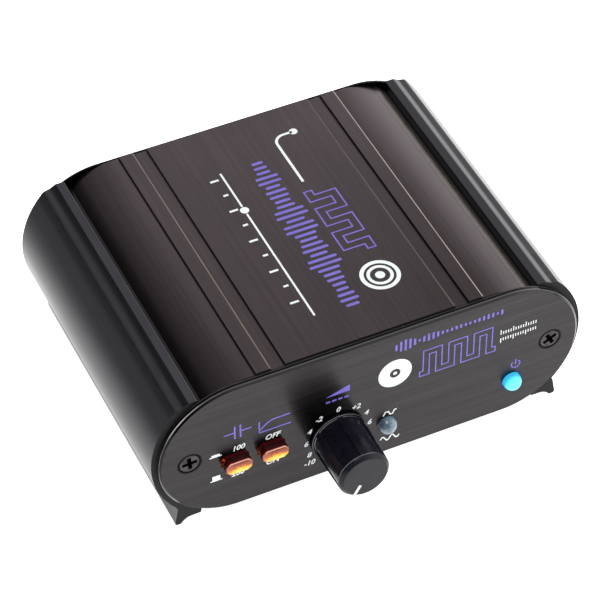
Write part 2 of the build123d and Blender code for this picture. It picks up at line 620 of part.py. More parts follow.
KNURLS = 28
with BuildPart() as ground_thumb_nut:
    with BuildSketch(fp(Y_R + 5.9, GROUND_X, GROUND_Z)):
        with BuildLine():
            ring = []
            for k in range(KNURLS):
                for f, r in ((0.0, 4.55), (0.30, 4.55), (0.65, 4.2)):
                    a = radians(360 * (k + f) / KNURLS)
                    ring.append((r * cos(a), r * sin(a)))
            Polyline(*(ring + ring[:1]))
        make_face()
    extrude(amount=5.2)
    with BuildSketch(turn(GROUND_X, GROUND_Z)):
        with BuildLine():
            Polyline((0, Y_R + 0.7), (3.9, Y_R + 0.7), (4.55, Y_R + 1.3), (4.6, Y_R + 5.3), (3.9, Y_R + 5.9), (0, Y_R + 5.9), (0, Y_R + 0.7))
        make_face()
    revolve(axis=y_axis(GROUND_X, GROUND_Z), mode=Mode.INTERSECT)
    with BuildSketch(fp(Y_R + 7, GROUND_X, GROUND_Z)):
        Circle(POST_R + 0.05)
    extrude(amount=8, mode=Mode.SUBTRACT)
save(ground_thumb_nut.part, "ground_thumb_nut")

# ---------------------------------------------------------------- DC power inlet
DC_Y0 = Y_R - PANEL_T - 13.2
with BuildPart() as dc_inlet_housing:
    with BuildSketch(fp(Y_R - PANEL_T, DC_X, 0)):
        with Locations((0, (BOARD_TOP + 0.05 - 1.2) / 2)):
            RectangleRounded(9.4, -1.2 - BOARD_TOP - 0.05, 0.6)
    extrude(amount=13.2)
    with BuildSketch(fp(Y_R - PANEL_T, DC_X, DC_Z)):
        Circle(4.7)
    extrude(amount=-(PANEL_T + 0.25))
    chamfer([e for e in dc_inlet_housing.edges().filter_by(GeomType.CIRCLE) if abs(e.center().Y - (Y_R + 0.25)) < 1e-3], 0.2)
    with BuildSketch(fp(Y_R + 1, DC_X, DC_Z)):
        Circle(3.15)
    extrude(amount=1 + 9.6, mode=Mode.SUBTRACT)
save(dc_inlet_housing.part, "dc_inlet_housing")

with BuildPart() as dc_inlet_pin:
    with BuildSketch(turn(DC_X, DC_Z)):
        y0, y1 = Y_R - 9.6, Y_R - 0.8
        with BuildLine():
            ThreePointArc((0, y1), (0.72, y1 - 0.3), (1.0, y1 - 1.0))
            Polyline((1.0, y1 - 1.0), (1.0, y0 + 0.5), (1.7, y0 + 0.5), (1.7, y0 + 0.02), (0, y0 + 0.02), (0, y1))
        make_face()
    revolve(axis=y_axis(DC_X, DC_Z))
save(dc_inlet_pin.part, "dc_inlet_pin")

with BuildPart() as dc_inlet_contact:
    # leaf against the plug's sleeve, on the floor of the bore
    with BuildSketch(fp(Y_R - 3.0, DC_X, DC_Z)):
        with Locations((0, -2.82)):
            Rectangle(1.8, 0.3)
    extrude(amount=6.2)
save(dc_inlet_contact.part, "dc_inlet_contact")

# ---------------------------------------------------------------- parts on the board
ZB = Z_AXIS + BOARD_TOP          # the board's upper face
PART_PINS = []


OPAMPS = ((-21.0, Y_F + 50.0), (1.0, Y_F + 50.0), (20.0, Y_F + 50.0))
with BuildPart() as op_amps:
    for ox, oy in OPAMPS:
        with BuildSketch(Plane.XY.offset(ZB + 0.9)):
            with Locations((ox, oy)):
                Rectangle(6.4, 9.5)
        extrude(amount=3.3)
    chamfer(op_amps.faces().filter_by(Axis.Z).group_by(Axis.Z)[-1].edges(), 0.35)
    for ox, oy in OPAMPS:
        with BuildSketch(Plane.XY.offset(ZB + 4.2)):
            with Locations((ox, oy + 4.75)):
                Circle(0.9)
        extrude(amount=-0.4, mode=Mode.SUBTRACT)
        for s in (1, -1):
            for k in range(4):
                px, py = ox + s * 3.81, oy - 3.81 + 2.54 * k
                PART_PINS.append((px, py))
                with BuildSketch(Plane.XY.offset(ZB + 2.6)):
                    with Locations((ox + s * 3.5, py)):
                        Rectangle(0.9, 1.1)
                extrude(amount=-0.3)
                with BuildSketch(Plane.XY.offset(ZB + 2.6)):
                    with Locations((px, py)):
                        Rectangle(0.3, 0.5)
                extrude(amount=-(2.6 + BOARD_T + 0.9))
save(op_amps.part, "op_amps")


def can_profile(r, h):
    """Half profile of a radial electrolytic: crimped can with a scored top."""
    b, t = ZB + 0.35, ZB + 0.35 + h
    Polyline((0, b), (r - 0.5, b), (r - 0.1, b + 0.3), (r, b + 0.8), (r, b + 1.7), (r - 0.35, b + 2.1), (r, b + 2.5), (r, t - 0.4),
             (r - 0.4, t), (r - 0.9, t), (r - 1.0, t - 0.15), (0, t - 0.15), (0, b))


def axial_profile(r, length):
    """Half profile of an axial part: two end caps and a slimmer middle, centred on the origin."""
    h, e = length / 2, 0.9
    Polyline((0, -h), (r - 0.25, -h), (r, -h + 0.3), (r, -h + e), (r - 0.2, -h + e + 0.4), (r - 0.2, h - e - 0.4), (r, h - e),
             (r, h - 0.3), (r - 0.25, h), (0, h), (0, -h))


def upright(x, y, z=0.0):
    """Plane facing the front at (x, y): local x is +X, local y is +Z; extrudes towards -Y."""
    return Plane(origin=(x, y, z), x_dir=(1, 0, 0), z_dir=(0, -1, 0))


SUPPLY_CANS = ((36.0, Y_F + 62.0), (36.0, Y_F + 48.5))
COUPLING_CANS = ((-34.0, Y_F + 38.0), (-26.0, Y_F + 36.0), (-10.5, Y_F + 58.0), (10.5, Y_F + 58.0), (12.0, Y_F + 34.0), (27.0, Y_F + 36.0))
with BuildPart() as supply_capacitors:
    for x, y in SUPPLY_CANS:
        with BuildSketch(upright(x, y)):
            with BuildLine():
                can_profile(5.0, 16.0)
            make_face()
        revolve(axis=Axis((x, y, 0), (0, 0, 1)))
        PART_PINS += [(x - 1.75, y), (x + 1.75, y)]
        with BuildSketch(Plane.XY.offset(ZB + 0.6)):
            with Locations((x - 1.75, y), (x + 1.75, y)):
                Circle(0.3)
        extrude(amount=-(0.6 + BOARD_T + 0.9))
save(supply_capacitors.part, "supply_capacitors")

with BuildPart() as coupling_capacitors:
    for x, y in COUPLING_CANS:
        with BuildSketch(upright(x, y)):
            with BuildLine():
                can_profile(3.15, 11.0)
            make_face()
        revolve(axis=Axis((x, y, 0), (0, 0, 1)))
        PART_PINS += [(x - 1.25, y), (x + 1.25, y)]
        with BuildSketch(Plane.XY.offset(ZB + 0.6)):
            with Locations((x - 1.25, y), (x + 1.25, y)):
                Circle(0.3)
        extrude(amount=-(0.6 + BOARD_T + 0.9))
save(coupling_capacitors.part, "coupling_capacitors")

FILM = ((-34.0, Y_F + 50.0), (-34.0, Y_F + 56.0), (-10.0, Y_F + 38.0), (-10.0, Y_F + 44.0), (-1.0, Y_F + 36.0), (-34.0, Y_F + 62.0), (11.0, Y_F + 42.0), (11.0, Y_F + 47.0))
with BuildPart() as film_capacitors:
    for x, y in FILM:
        with BuildSketch(Plane.XY.offset(ZB + 0.3)):
            with Locations((x, y)):
                RectangleRounded(7.2, 3.2, 0.3)
        extrude(amount=7.5)
        PART_PINS += [(x - 2.5, y), (x + 2.5, y)]
        with BuildSketch(Plane.XY.offset(ZB + 0.6)):
            with Locations((x - 2.5, y), (x + 2.5, y)):
                Circle(0.3)
        extrude(amount=-(0.6 + BOARD_T + 0.9))
save(film_capacitors.part, "film_capacitors")

DISCS = ((-21.0, Y_F + 66.0), (-13.0, Y_F + 66.0), (-5.0, Y_F + 66.0), (8.0, Y_F + 66.0), (16.0, Y_F + 66.0), (-44.0, Y_F + 66.0))
with BuildPart() as disc_capacitors:
    for x, y in DISCS:
        with BuildSketch(upright(x, y + 1.0, ZB + 3.4)):
            Circle(2.3)
        extrude(amount=2.0)
        PART_PINS += [(x - 1.25, y), (x + 1.25, y)]
        with BuildSketch(Plane.XY.offset(ZB + 2.2)):
            with Locations((x - 1.25, y), (x + 1.25, y)):
                Circle(0.25)
        extrude(amount=-(2.2 + BOARD_T + 0.9))
save(disc_capacitors.part, "disc_capacitors")

RESISTORS = [(-47.0 + 3.2 * k, Y_F + 32.0) for k in range(2)] + [(-18.5 + 3.2 * k, Y_F + 29.0) for k in range(4)] \
    + [(3.0 + 3.2 * k, Y_F + 24.0) for k in range(6)] + [(26.0 + 3.2 * k, Y_F + 22.0) for k in range(5)] + [(-28.5, Y_F + 50.0), (-14.5, Y_F + 50.0)]
with BuildPart() as resistors:
    for x, y in RESISTORS:
        zc = ZB + 1.15 + 0.4
        with BuildSketch(Plane(origin=(x, y, zc), x_dir=(1, 0, 0), z_dir=(0, 0, 1))):
            with BuildLine():
                axial_profile(1.15, 6.3)
            make_face()
        revolve(axis=Axis((x, y, zc), (0, 1, 0)))
        with BuildSketch(upright(x, y + 5.1, zc)):
            Circle(0.21)
        extrude(amount=10.2)
        PART_PINS += [(x, y - 5.1), (x, y + 5.1)]
        with BuildSketch(Plane.XY.offset(zc + 0.35)):
            with Locations((x, y - 5.1), (x, y + 5.1)):
                Circle(0.28)
        extrude(amount=-(zc + 0.35 - ZB + BOARD_T + 0.9))
save(resistors.part, "resistors")

DIODES = ((44.0, Y_F + 66.0), (47.5, Y_F + 66.0), (44.0, Y_F + 53.0), (47.5, Y_F + 53.0))
with BuildPart() as rectifier_diodes:
    for x, y in DIODES:
        zc = ZB + 1.35 + 0.4
        with BuildSketch(Plane(origin=(x, y, zc), x_dir=(1, 0, 0), z_dir=(0, 0, 1))):
            with BuildLine():
                axial_profile(1.35, 5.2)
            make_face()
        revolve(axis=Axis((x, y, zc), (0, 1, 0)))
        with BuildSketch(upright(x, y + 4.8, zc)):
            Circle(0.21)
        extrude(amount=9.6)
        PART_PINS += [(x, y - 4.8), (x, y + 4.8)]
        with BuildSketch(Plane.XY.offset(zc + 0.35)):
            with Locations((x, y - 4.8), (x, y + 4.8)):
                Circle(0.28)
        extrude(amount=-(zc + 0.35 - ZB + BOARD_T + 0.9))
save(rectifier_diodes.part, "rectifier_diodes")

REG_X, REG_Y = 24.6, Y_F + 64.0
with BuildPart() as voltage_regulator:
    with BuildSketch(Plane(origin=(REG_X, REG_Y + 4.5, ZB + 3.4), x_dir=(1, 0, 0), z_dir=(0, -1, 0))):
        with Locations((0, 4.4)):
            Rectangle(10.0, 8.8)
    extrude(amount=4.4)
    with BuildSketch(Plane(origin=(REG_X, REG_Y + 4.5, ZB + 3.4), x_dir=(1, 0, 0), z_dir=(0, -1, 0))):
        with Locations((0, 7.4)):
            Rectangle(10.0, 14.8)
        with Locations((0, 12.2)):
            Circle(1.8, mode=Mode.SUBTRACT)
    extrude(amount=1.2)
    for d in (-2.54, 0, 2.54):
        PART_PINS.append((REG_X + d, REG_Y + 2.3))
        with BuildSketch(Plane.XY.offset(ZB + 3.6)):
            with Locations((REG_X + d, REG_Y + 2.3)):
                Rectangle(0.7, 0.5)
        extrude(amount=-(3.6 + BOARD_T + 0.9))
save(voltage_regulator.part, "voltage_regulator")

# ---------------------------------------------------------------- circuit board, drilled for every lead
COVER_LEGS = [(KNOB_X - 5.15, Y_F + 5.7), (KNOB_X + 5.15, Y_F + 5.7)]
with BuildPart() as circuit_board:
    with BuildSketch(Plane.XY.offset(ZB - BOARD_T)):
        with Locations((0, (BOARD_Y0 + BOARD_Y1) / 2)):
            RectangleRounded(2 * BOARD_HALF_W, BOARD_Y1 - BOARD_Y0, 0.8)
        for x, y in PART_PINS:
            with Locations((x, y)):
                Circle(0.45, mode=Mode.SUBTRACT)
        for x, y in SWITCH_PINS + LAMP_PINS + POT_PINS:
            with Locations((x, y)):
                Circle(0.55, mode=Mode.SUBTRACT)
        for x, y in JACK_PINS:
            with Locations((x, y)):
                Circle(0.7, mode=Mode.SUBTRACT)
        for x, y in COVER_LEGS:
            with Locations((x, y)):
                Rectangle(0.9, 2.2, mode=Mode.SUBTRACT)
    extrude(amount=BOARD_T)
save(circuit_board.part, "circuit_board")
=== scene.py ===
import bpy, bmesh, json
from math import sin, cos, pi, radians, sqrt
from mathutils import Vector, Matrix


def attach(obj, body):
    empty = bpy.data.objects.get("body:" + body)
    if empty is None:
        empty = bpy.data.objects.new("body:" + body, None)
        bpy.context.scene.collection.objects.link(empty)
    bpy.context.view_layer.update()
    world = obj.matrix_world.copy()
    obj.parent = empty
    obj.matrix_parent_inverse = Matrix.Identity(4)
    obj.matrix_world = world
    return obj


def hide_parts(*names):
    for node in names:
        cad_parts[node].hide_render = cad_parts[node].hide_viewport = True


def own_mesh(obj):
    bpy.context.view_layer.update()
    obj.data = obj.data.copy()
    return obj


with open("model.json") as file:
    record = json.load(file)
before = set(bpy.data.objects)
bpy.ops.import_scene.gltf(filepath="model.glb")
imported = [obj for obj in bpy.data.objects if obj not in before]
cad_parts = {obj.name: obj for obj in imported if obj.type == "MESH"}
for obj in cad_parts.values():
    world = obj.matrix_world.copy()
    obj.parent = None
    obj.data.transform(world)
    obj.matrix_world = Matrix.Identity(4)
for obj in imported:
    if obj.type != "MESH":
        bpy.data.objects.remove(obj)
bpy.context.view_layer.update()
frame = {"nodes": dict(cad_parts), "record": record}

MM = 0.001
Y_F = -41.8          # front panel's face
Y_R = 49.0           # rear panel's face
ZA = 23.55           # height of the case's axis
TOP = 21.95          # case's top, above the axis

# ------------------------------------------------------------------ camera
cam_data = bpy.data.cameras.new("camera")
cam = bpy.data.objects.new("camera", cam_data)
bpy.context.collection.objects.link(cam)
cam_data.sensor_fit = "HORIZONTAL"
cam_data.sensor_width = 36.0
cam_data.lens = 2956.5 / 600 * 36.0
cam_data.clip_start, cam_data.clip_end = 0.02, 20.0
right = Vector((0.90554486, -0.42422727, -0.00444208))
down = Vector((-0.30206924, -0.63736668, -0.70888496))
ahead = Vector((0.2978971, 0.64326895, -0.70531013))
pos = Vector((-232.277, -457.735 + Y_F, 546.305 + ZA)) * MM
cam.matrix_world = Matrix((
    (right.x, -down.x, -ahead.x, pos.x),
    (right.y, -down.y, -ahead.y, pos.y),
    (right.z, -down.z, -ahead.z, pos.z),
    (0, 0, 0, 1)))
bpy.context.scene.camera = cam
bpy.context.scene.view_settings.view_transform = "Standard"


# ------------------------------------------------------------------ material helpers
class Tree:
    def __init__(self, name):
        self.m = bpy.data.materials.new(name)
        self.m.use_nodes = True
        self.t = self.m.node_tree
        self.b = self.t.nodes["Principled BSDF"]
        self.co = None

    def node(self, kind, **props):
        n = self.t.nodes.new(kind)
        for k, v in props.items():
            setattr(n, k, v)
        return n

    def link(self, a, b):
        self.t.links.new(a, b)

    def put(self, socket, value):
        if isinstance(value, bpy.types.NodeSocket):
            self.link(value, socket)
        else:
            socket.default_value = value

    def coords(self, which="Object"):
        if self.co is None:
            self.co = self.node("ShaderNodeTexCoord")
        return self.co.outputs[which]

    def mapped(self, scale, which="Object", loc=(0, 0, 0)):
        n = self.node("ShaderNodeMapping")
        n.inputs["Scale"].default_value = scale
        n.inputs["Location"].default_value = loc
        self.link(self.coords(which), n.inputs["Vector"])
        return n.outputs["Vector"]

    def noise(self, vec, scale=1.0, detail=3.0, rough=0.5, distort=0.0):
        n = self.node("ShaderNodeTexNoise")
        self.link(vec, n.inputs["Vector"])
        n.inputs["Scale"].default_value = scale
        n.inputs["Detail"].default_value = detail
        n.inputs["Roughness"].default_value = rough
        n.inputs["Distortion"].default_value = distort
        return n.outputs["Fac"]

    def remap(self, v, a, b, c, d, smooth=False):
        n = self.node("ShaderNodeMapRange")
        n.interpolation_type = "SMOOTHSTEP" if smooth else "LINEAR"
        n.clamp = True
        self.put(n.inputs[0], v)
        for i, x in zip((1, 2, 3, 4), (a, b, c, d)):
            n.inputs[i].default_value = x
        return n.outputs[0]

    def math(self, op, a, b=0.0, c=0.0):
        n = self.node("ShaderNodeMath", operation=op)
        self.put(n.inputs[0], a)
        self.put(n.inputs[1], b)
        self.put(n.inputs[2], c)
        return n.outputs[0]

    def mix(self, f, a, b):
        n = self.node("ShaderNodeMix", data_type="RGBA")
        self.put(n.inputs[0], f)
        self.put(n.inputs[6], a)
        self.put(n.inputs[7], b)
        return n.outputs[2]

    def ramp(self, v, stops):
        n = self.node("ShaderNodeValToRGB")
        self.put(n.inputs[0], v)
        e = n.color_ramp.elements
        e[0].position, e[0].color = stops[0][0], (*stops[0][1], 1)
        e[1].position, e[1].color = stops[-1][0], (*stops[-1][1], 1)
        for p, c in stops[1:-1]:
            x = e.new(p)
            x.color = (*c, 1)
        return n.outputs[0]

    def xyz(self, vec=None):
        n = self.node("ShaderNodeSeparateXYZ")
        self.link(vec if vec is not None else self.coords(), n.inputs[0])
        return n.outputs

    def bump(self, h, strength=0.2, dist=0.0002, normal=None):
        n = self.node("ShaderNodeBump")
        n.inputs["Strength"].default_value = strength
        n.inputs["Distance"].default_value = dist
        self.put(n.inputs["Height"], h)
        if normal is not None:
            self.link(normal, n.inputs["Normal"])
        return n.outputs["Normal"]

    def tangent(self, v):
        n = self.node("ShaderNodeCombineXYZ")
        for i in range(3):
            n.inputs[i].default_value = v[i]
        self.link(n.outputs[0], self.b.inputs["Tangent"])

    def set(self, **kw):
        names = {"color": "Base Color", "metallic": "Metallic", "rough": "Roughness", "ior": "IOR", "spec": "Specular IOR Level",
                 "aniso": "Anisotropic", "coat": "Coat Weight", "coat_rough": "Coat Roughness", "normal": "Normal",
                 "trans": "Transmission Weight", "emit": "Emission Color", "emit_s": "Emission Strength", "sheen": "Sheen Weight",
                 "sub": "Subsurface Weight", "sub_r": "Subsurface Radius", "sub_s": "Subsurface Scale"}
        for k, v in kw.items():
            self.put(self.b.inputs[names[k]], v)
        return self


def c3(r, g, b):
    """Display colour 0-255 to the linear colour a socket takes."""
    f = lambda x: (x / 255 / 12.92) if x / 255 <= 0.04045 else ((x / 255 + 0.055) / 1.055) ** 2.4
    return (f(r), f(g), f(b))


def c4(r, g, b):
    return (*c3(r, g, b), 1)


MATS = {}


def simple(name, dark, light, rough=(0.35, 0.5), metallic=0.0, scale=900.0, stretch=(1, 1, 1), bump=0.12, dist=0.00003, coat=0.0,
           detail=4.0, ior=1.5):
    """A moulded, plated or painted surface: mottled colour, uneven gloss and a fine skin."""
    t = Tree(name)
    v = t.mapped([scale * s for s in stretch])
    n = t.noise(v, 1.0, detail)
    broad = t.noise(t.mapped((140, 140, 140), loc=(3, 7, 1)), 1.0, 2.0)
    both = t.math("ADD", t.math("MULTIPLY", n, 0.6), t.math("MULTIPLY", broad, 0.4))
    t.set(color=t.ramp(both, [(0.3, dark), (0.7, light)]), rough=t.remap(n, 0.3, 0.7, rough[0], rough[1]),
          metallic=metallic, normal=t.bump(n, bump, dist), ior=ior, coat=coat)
    if coat:
        t.set(coat_rough=0.08)
    MATS[name] = t.m
    return t


# ---------------------------------------------------------------- case: brushed top, smooth rails and sides
t = Tree("case_finish")
x, y, z = t.xyz()
ax = t.math("ABSOLUTE", x)
is_top = t.math("MULTIPLY", t.remap(ax, 0.04595, 0.0462, 1, 0), t.remap(z, 0.034, 0.037, 0, 1))
fine = t.noise(t.mapped((5200, 26, 5200)), 1.0, 5.0, 0.65)
wide = t.noise(t.mapped((900, 7, 900), loc=(1.3, 0, 0)), 1.0, 3.0, 0.6)
cloud = t.noise(t.mapped((60, 22, 60), loc=(5, 2, 9)), 1.0, 2.0)
streak = t.math("ADD", t.math("MULTIPLY", fine, 0.55), t.math("MULTIPLY", wide, 0.45))
brown = t.ramp(streak, [(0.30, (0.059, 0.0473, 0.0502)), (0.5, (0.075, 0.0604, 0.0636)), (0.72, (0.096, 0.0784, 0.0818))])
brown = t.mix(t.remap(cloud, 0.35, 0.65, 0.0, 0.35), brown, (0.057, 0.047, 0.052, 1))
# painted shade: the top is painted a little darker towards the front, more so on the right of the plateau, and darker
# low on the left shoulder
painted_front_shade = t.math("ADD", 0.28, t.math("MULTIPLY", t.remap(x, 0.0, 0.022, 0, 0.19), t.remap(x, 0.034, 0.040, 1, 0.3)))
brown = t.mix(t.math("MULTIPLY", t.remap(y, -0.034, 0.038, 1, 0), painted_front_shade), brown, (0, 0, 0, 1))
brown = t.mix(t.remap(x, -0.0425, -0.0450, 0, 0.6), brown, (0, 0, 0, 1))
satin = t.ramp(t.noise(t.mapped((300, 40, 300), loc=(2, 2, 2)), 1.0, 3.0), [(0.3, (0.040, 0.0385, 0.0445)), (0.7, (0.050, 0.048, 0.054))])
# painted highlight and shade on the left rail: the flank below it is painted darker, the crest lighter and the slot
# inside it near black
painted_shade_flank = t.math("MULTIPLY", t.remap(z, 0.012, 0.024, 0, 1), t.math("MULTIPLY", t.remap(z, 0.0365, 0.039, 1, 0), t.remap(x, -0.05, -0.054, 0, 1)))
satin = t.mix(painted_shade_flank, satin, (0.0185, 0.018, 0.0215, 1))
satin = t.mix(t.math("MULTIPLY", t.remap(x, -0.0505, -0.0515, 0, 1), t.remap(x, -0.0548, -0.0558, 1, 0)), satin, (0.073, 0.070, 0.077, 1))
satin = t.mix(t.math("MULTIPLY", t.remap(x, -0.04715, -0.04705, 0, 1), t.remap(x, -0.0462, -0.0460, 1, 0)), satin, (0.0035, 0.0033, 0.0040, 1))
# painted highlight on the right rail's crest; painted shade beyond it, on the rail's inner part, in the slot and near
# black in the gap beside it
painted_highlight_crest = t.math("MULTIPLY", t.remap(x, 0.0497, 0.0501, 0, 1), t.remap(x, 0.0509, 0.0512, 1, 0))
satin = t.mix(painted_highlight_crest, satin, (0.088, 0.086, 0.092, 1))
satin = t.mix(t.remap(x, 0.0511, 0.0514, 0, 1), satin, (0.0165, 0.016, 0.018, 1))
satin = t.mix(t.math("MULTIPLY", t.remap(x, 0.0470, 0.0474, 0, 1), t.remap(x, 0.0494, 0.0498, 1, 0)), satin, (0.037, 0.036, 0.040, 1))
slot = t.math("MULTIPLY", t.remap(x, 0.0463, 0.04645, 0, 1), t.remap(x, 0.0471, 0.0473, 1, 0))
satin = t.mix(slot, satin, (0.030, 0.029, 0.032, 1))
satin = t.mix(t.math("MULTIPLY", t.remap(x, 0.0459, 0.0460, 0, 1), t.remap(x, 0.0463, 0.0464, 1, 0)), satin, (0.008, 0.0078, 0.0085, 1))
# painted highlight: a bright band along the outer edge of the right shoulder
painted_highlight_shoulder = t.math("MULTIPLY", t.remap(x, 0.0431, 0.0447, 0, 1), t.remap(x, 0.0455, 0.0459, 1, 0))
brown = t.mix(painted_highlight_shoulder, brown, (0.40, 0.36, 0.34, 1))
# painted highlight: the sharp right-hand edges of the top steps are painted as bright lines, broken here and there by
# noise
highlight_breakup = t.noise(t.mapped((30, 75, 30), loc=(7, 1, 3)), 1.0, 3.0, 0.6)
high = t.remap(z, (ZA + TOP - 0.16) * MM, (ZA + TOP - 0.06) * MM, 0, 1)


def painted_edge_highlight(base, at, half, colour, lo=0.7):
    near_ = t.remap(t.math("ABSOLUTE", t.math("SUBTRACT", x, at * MM)), half * 0.6 * MM, half * MM, 1, 0)
    return t.mix(t.math("MULTIPLY", near_, t.math("MULTIPLY", t.remap(highlight_breakup, 0.32, 0.5, lo, 1.0), high)), base, colour)


brown = painted_edge_highlight(brown, -27.44, 0.34, (0.185, 0.148, 0.130, 1))
brown = painted_edge_highlight(brown, 31.40, 0.24, (0.36, 0.315, 0.285, 1))
brown = painted_edge_highlight(brown, 23.44, 0.40, (0.093, 0.078, 0.078, 1))
# painted shade: the case's cut end behind the gasket is painted near black and matte
cut_end = t.remap(y, (Y_F + 1.95 + 0.02) * MM, (Y_F + 1.95 + 0.05) * MM, 1, 0)
col = t.mix(is_top, satin, brown)
col = t.mix(cut_end, col, t.ramp(fine, [(0.3, (0.008, 0.0078, 0.0088)), (0.7, (0.016, 0.0156, 0.017))]))
t.set(color=col, metallic=t.math("SUBTRACT", 1.0, cut_end), aniso=0.55, ior=1.25,
      rough=t.math("ADD", t.math("ADD", t.math("MULTIPLY", cut_end, 0.35), t.math("MULTIPLY", is_top, 0.07)), t.remap(streak, 0.3, 0.7, 0.20, 0.28)),
      normal=t.bump(t.math("MULTIPLY", streak, is_top), 0.16, 0.00002))
t.tangent((1, 0, 0))
MATS["case_finish"] = t.m

# ---------------------------------------------------------------- front and rear panels
for name, face in (("front_panel_finish", Y_F), ("rear_panel_finish", Y_R)):
    t = Tree(name)
    x, y, z = t.xyz()
    inner = -1.0 if face == Y_F else 1.0
    # depth behind the face, mm: the cut edge is brighter than the face
    depth = t.math("MULTIPLY", t.math("SUBTRACT", y, face * MM), -inner * 1000)
    rim = t.math("MULTIPLY", t.remap(depth, 0.44, 0.50, 0, 1), t.remap(depth, 0.74, 0.84, 1, 0))
    bevel = t.math("MULTIPLY", t.remap(depth, 0.02, 0.06, 0, 1), t.remap(depth, 0.44, 0.50, 1, 0))
    # painted shade: a black ring round each countersunk screw, on the countersink round its head
    sx = t.math("SUBTRACT", t.math("ABSOLUTE", x), 50.75 * MM)
    sz = t.math("SUBTRACT", z, ZA * MM)
    sr = t.math("SQRT", t.math("ADD", t.math("MULTIPLY", sx, sx), t.math("MULTIPLY", sz, sz)))
    ringed = t.remap(sr, 3.3 * MM, 3.46 * MM, 1, 0)
    fine = t.noise(t.mapped((38, 5200, 5200)), 1.0, 5.0, 0.7)
    wide = t.noise(t.mapped((9, 700, 700), loc=(0, 4, 2)), 1.0, 3.0, 0.6)
    streak = t.math("ADD", t.math("MULTIPLY", fine, 0.6), t.math("MULTIPLY", wide, 0.4))
    cloud = t.noise(t.mapped((18, 30, 30), loc=(1, 1, 8)), 1.0, 2.0)
    grey = t.ramp(streak, [(0.30, (0.026, 0.0238, 0.025)), (0.5, (0.038, 0.035, 0.0368)), (0.74, (0.060, 0.0552, 0.057))])
    grey = t.mix(t.remap(cloud, 0.35, 0.65, 0, 0.25), grey, (0.032, 0.0295, 0.031, 1))
    left = t.remap(x, -0.040, -0.050, 0, 1)
    # painted shade: the chamfer is painted one flat grey, darker on the left end
    grey = t.mix(bevel, grey, t.mix(left, (0.038, 0.036, 0.037, 1), (0.018, 0.017, 0.018, 1)))
    # painted shade: the edge behind the rim and the ring round each screw are painted near black
    behind = t.math("MAXIMUM", t.remap(depth, 0.74, 0.84, 0, 1), ringed)
    grey = t.mix(behind, grey, (0.004, 0.004, 0.0045, 1))
    if face == Y_F:
        # painted light: the power lamp's blue glow is painted into the plate close round it
        lx = t.math("SUBTRACT", x, 40.0 * MM)
        lz = t.math("SUBTRACT", z, (ZA - 10.5) * MM)
        lr = t.math("SQRT", t.math("ADD", t.math("MULTIPLY", lx, lx), t.math("MULTIPLY", lz, lz)))
        grey = t.mix(t.remap(lr, 2.6 * MM, 3.9 * MM, 0.9, 0, True), grey, (0.017, 0.032, 0.078, 1))
    # painted highlight: the cut rim is painted brighter on the left end's curves and a little at the right
    hz = t.math("SUBTRACT", z, ZA * MM)
    rim_highlight = t.math("ADD", t.math("MULTIPLY", t.remap(hz, 0.009, 0.0125, 0, 1), t.remap(hz, 0.0165, 0.020, 0.50, 0.10)), t.remap(hz, 0.001, -0.008, 0.03, 0.32))
    rim_highlight = t.math("ADD", t.math("MULTIPLY", left, rim_highlight), t.math("MULTIPLY", t.remap(x, 0.050, 0.055, 0, 0.14), t.remap(hz, -0.006, 0.004, 0, 1)))
    rim_highlight = t.math("ADD", 0.042, t.math("MULTIPLY", rim_highlight, t.remap(t.noise(t.mapped((260, 260, 260), loc=(1, 8, 2)), 1.0, 3.0, 0.6), 0.3, 0.7, 0.6, 1.3)))
    paler = t.node("ShaderNodeCombineXYZ")
    for i, k in enumerate((1.0, 0.96, 0.97)):
        t.link(t.math("MULTIPLY", rim_highlight, k), paler.inputs[i])
    t.set(color=t.mix(rim, grey, paler.outputs[0]), metallic=t.math("SUBTRACT", 1.0, rim), aniso=0.8,
          rough=t.math("MULTIPLY", t.remap(streak, 0.3, 0.7, 0.20, 0.28), t.math("SUBTRACT", 1.0, t.math("MULTIPLY", bevel, 0.5))), normal=t.bump(streak, 0.18, 0.00002))
    t.tangent((0, 0, 1))
    MATS[name] = t.m

# strip between the front panel and the case: black, with a painted highlight along its ridge
t = Tree("gasket_black")
x, y, z = t.xyz()
depth = t.math("MULTIPLY", t.math("SUBTRACT", y, Y_F * MM), 1000.0)
n = t.noise(t.mapped((900, 3000, 900)), 1.0, 4.0)
# painted highlight: a pale line along the ridge, brighter towards the top
line = t.math("MULTIPLY", t.remap(depth, 1.44, 1.52, 0, 1), t.remap(depth, 1.72, 1.80, 1, 0))
line = t.math("MULTIPLY", line, t.remap(z, (ZA + 12) * MM, (ZA + 19) * MM, 0.05, 0.55))
t.set(color=t.mix(t.math("MULTIPLY", line, t.remap(n, 0.3, 0.7, 0.6, 1.0)), t.ramp(n, [(0.3, (0.003, 0.003, 0.003)), (0.7, (0.007, 0.0068, 0.007))]), (0.075, 0.066, 0.066, 1)),
      rough=t.remap(n, 0.3, 0.7, 0.35, 0.5), metallic=0.0, ior=1.25, normal=t.bump(n, 0.2, 0.00002))
MATS["gasket_black"] = t.m

# ---------------------------------------------------------------- knob
t = Tree("knob_black")
x, y, z = t.xyz()
face = t.remap(y, (Y_F - 16.27) * MM, (Y_F - 16.2) * MM, 1, 0)
n = t.noise(t.mapped((2600, 2600, 2600)), 1.0, 4.0)
b = t.noise(t.mapped((240, 240, 240), loc=(2, 0, 4)), 1.0, 2.0)
dx = t.math("SUBTRACT", x, -9.97 * MM)
dz = t.math("SUBTRACT", z, (ZA - 7.9) * MM)
r = t.math("SQRT", t.math("ADD", t.math("MULTIPLY", dx, dx), t.math("MULTIPLY", dz, dz)))
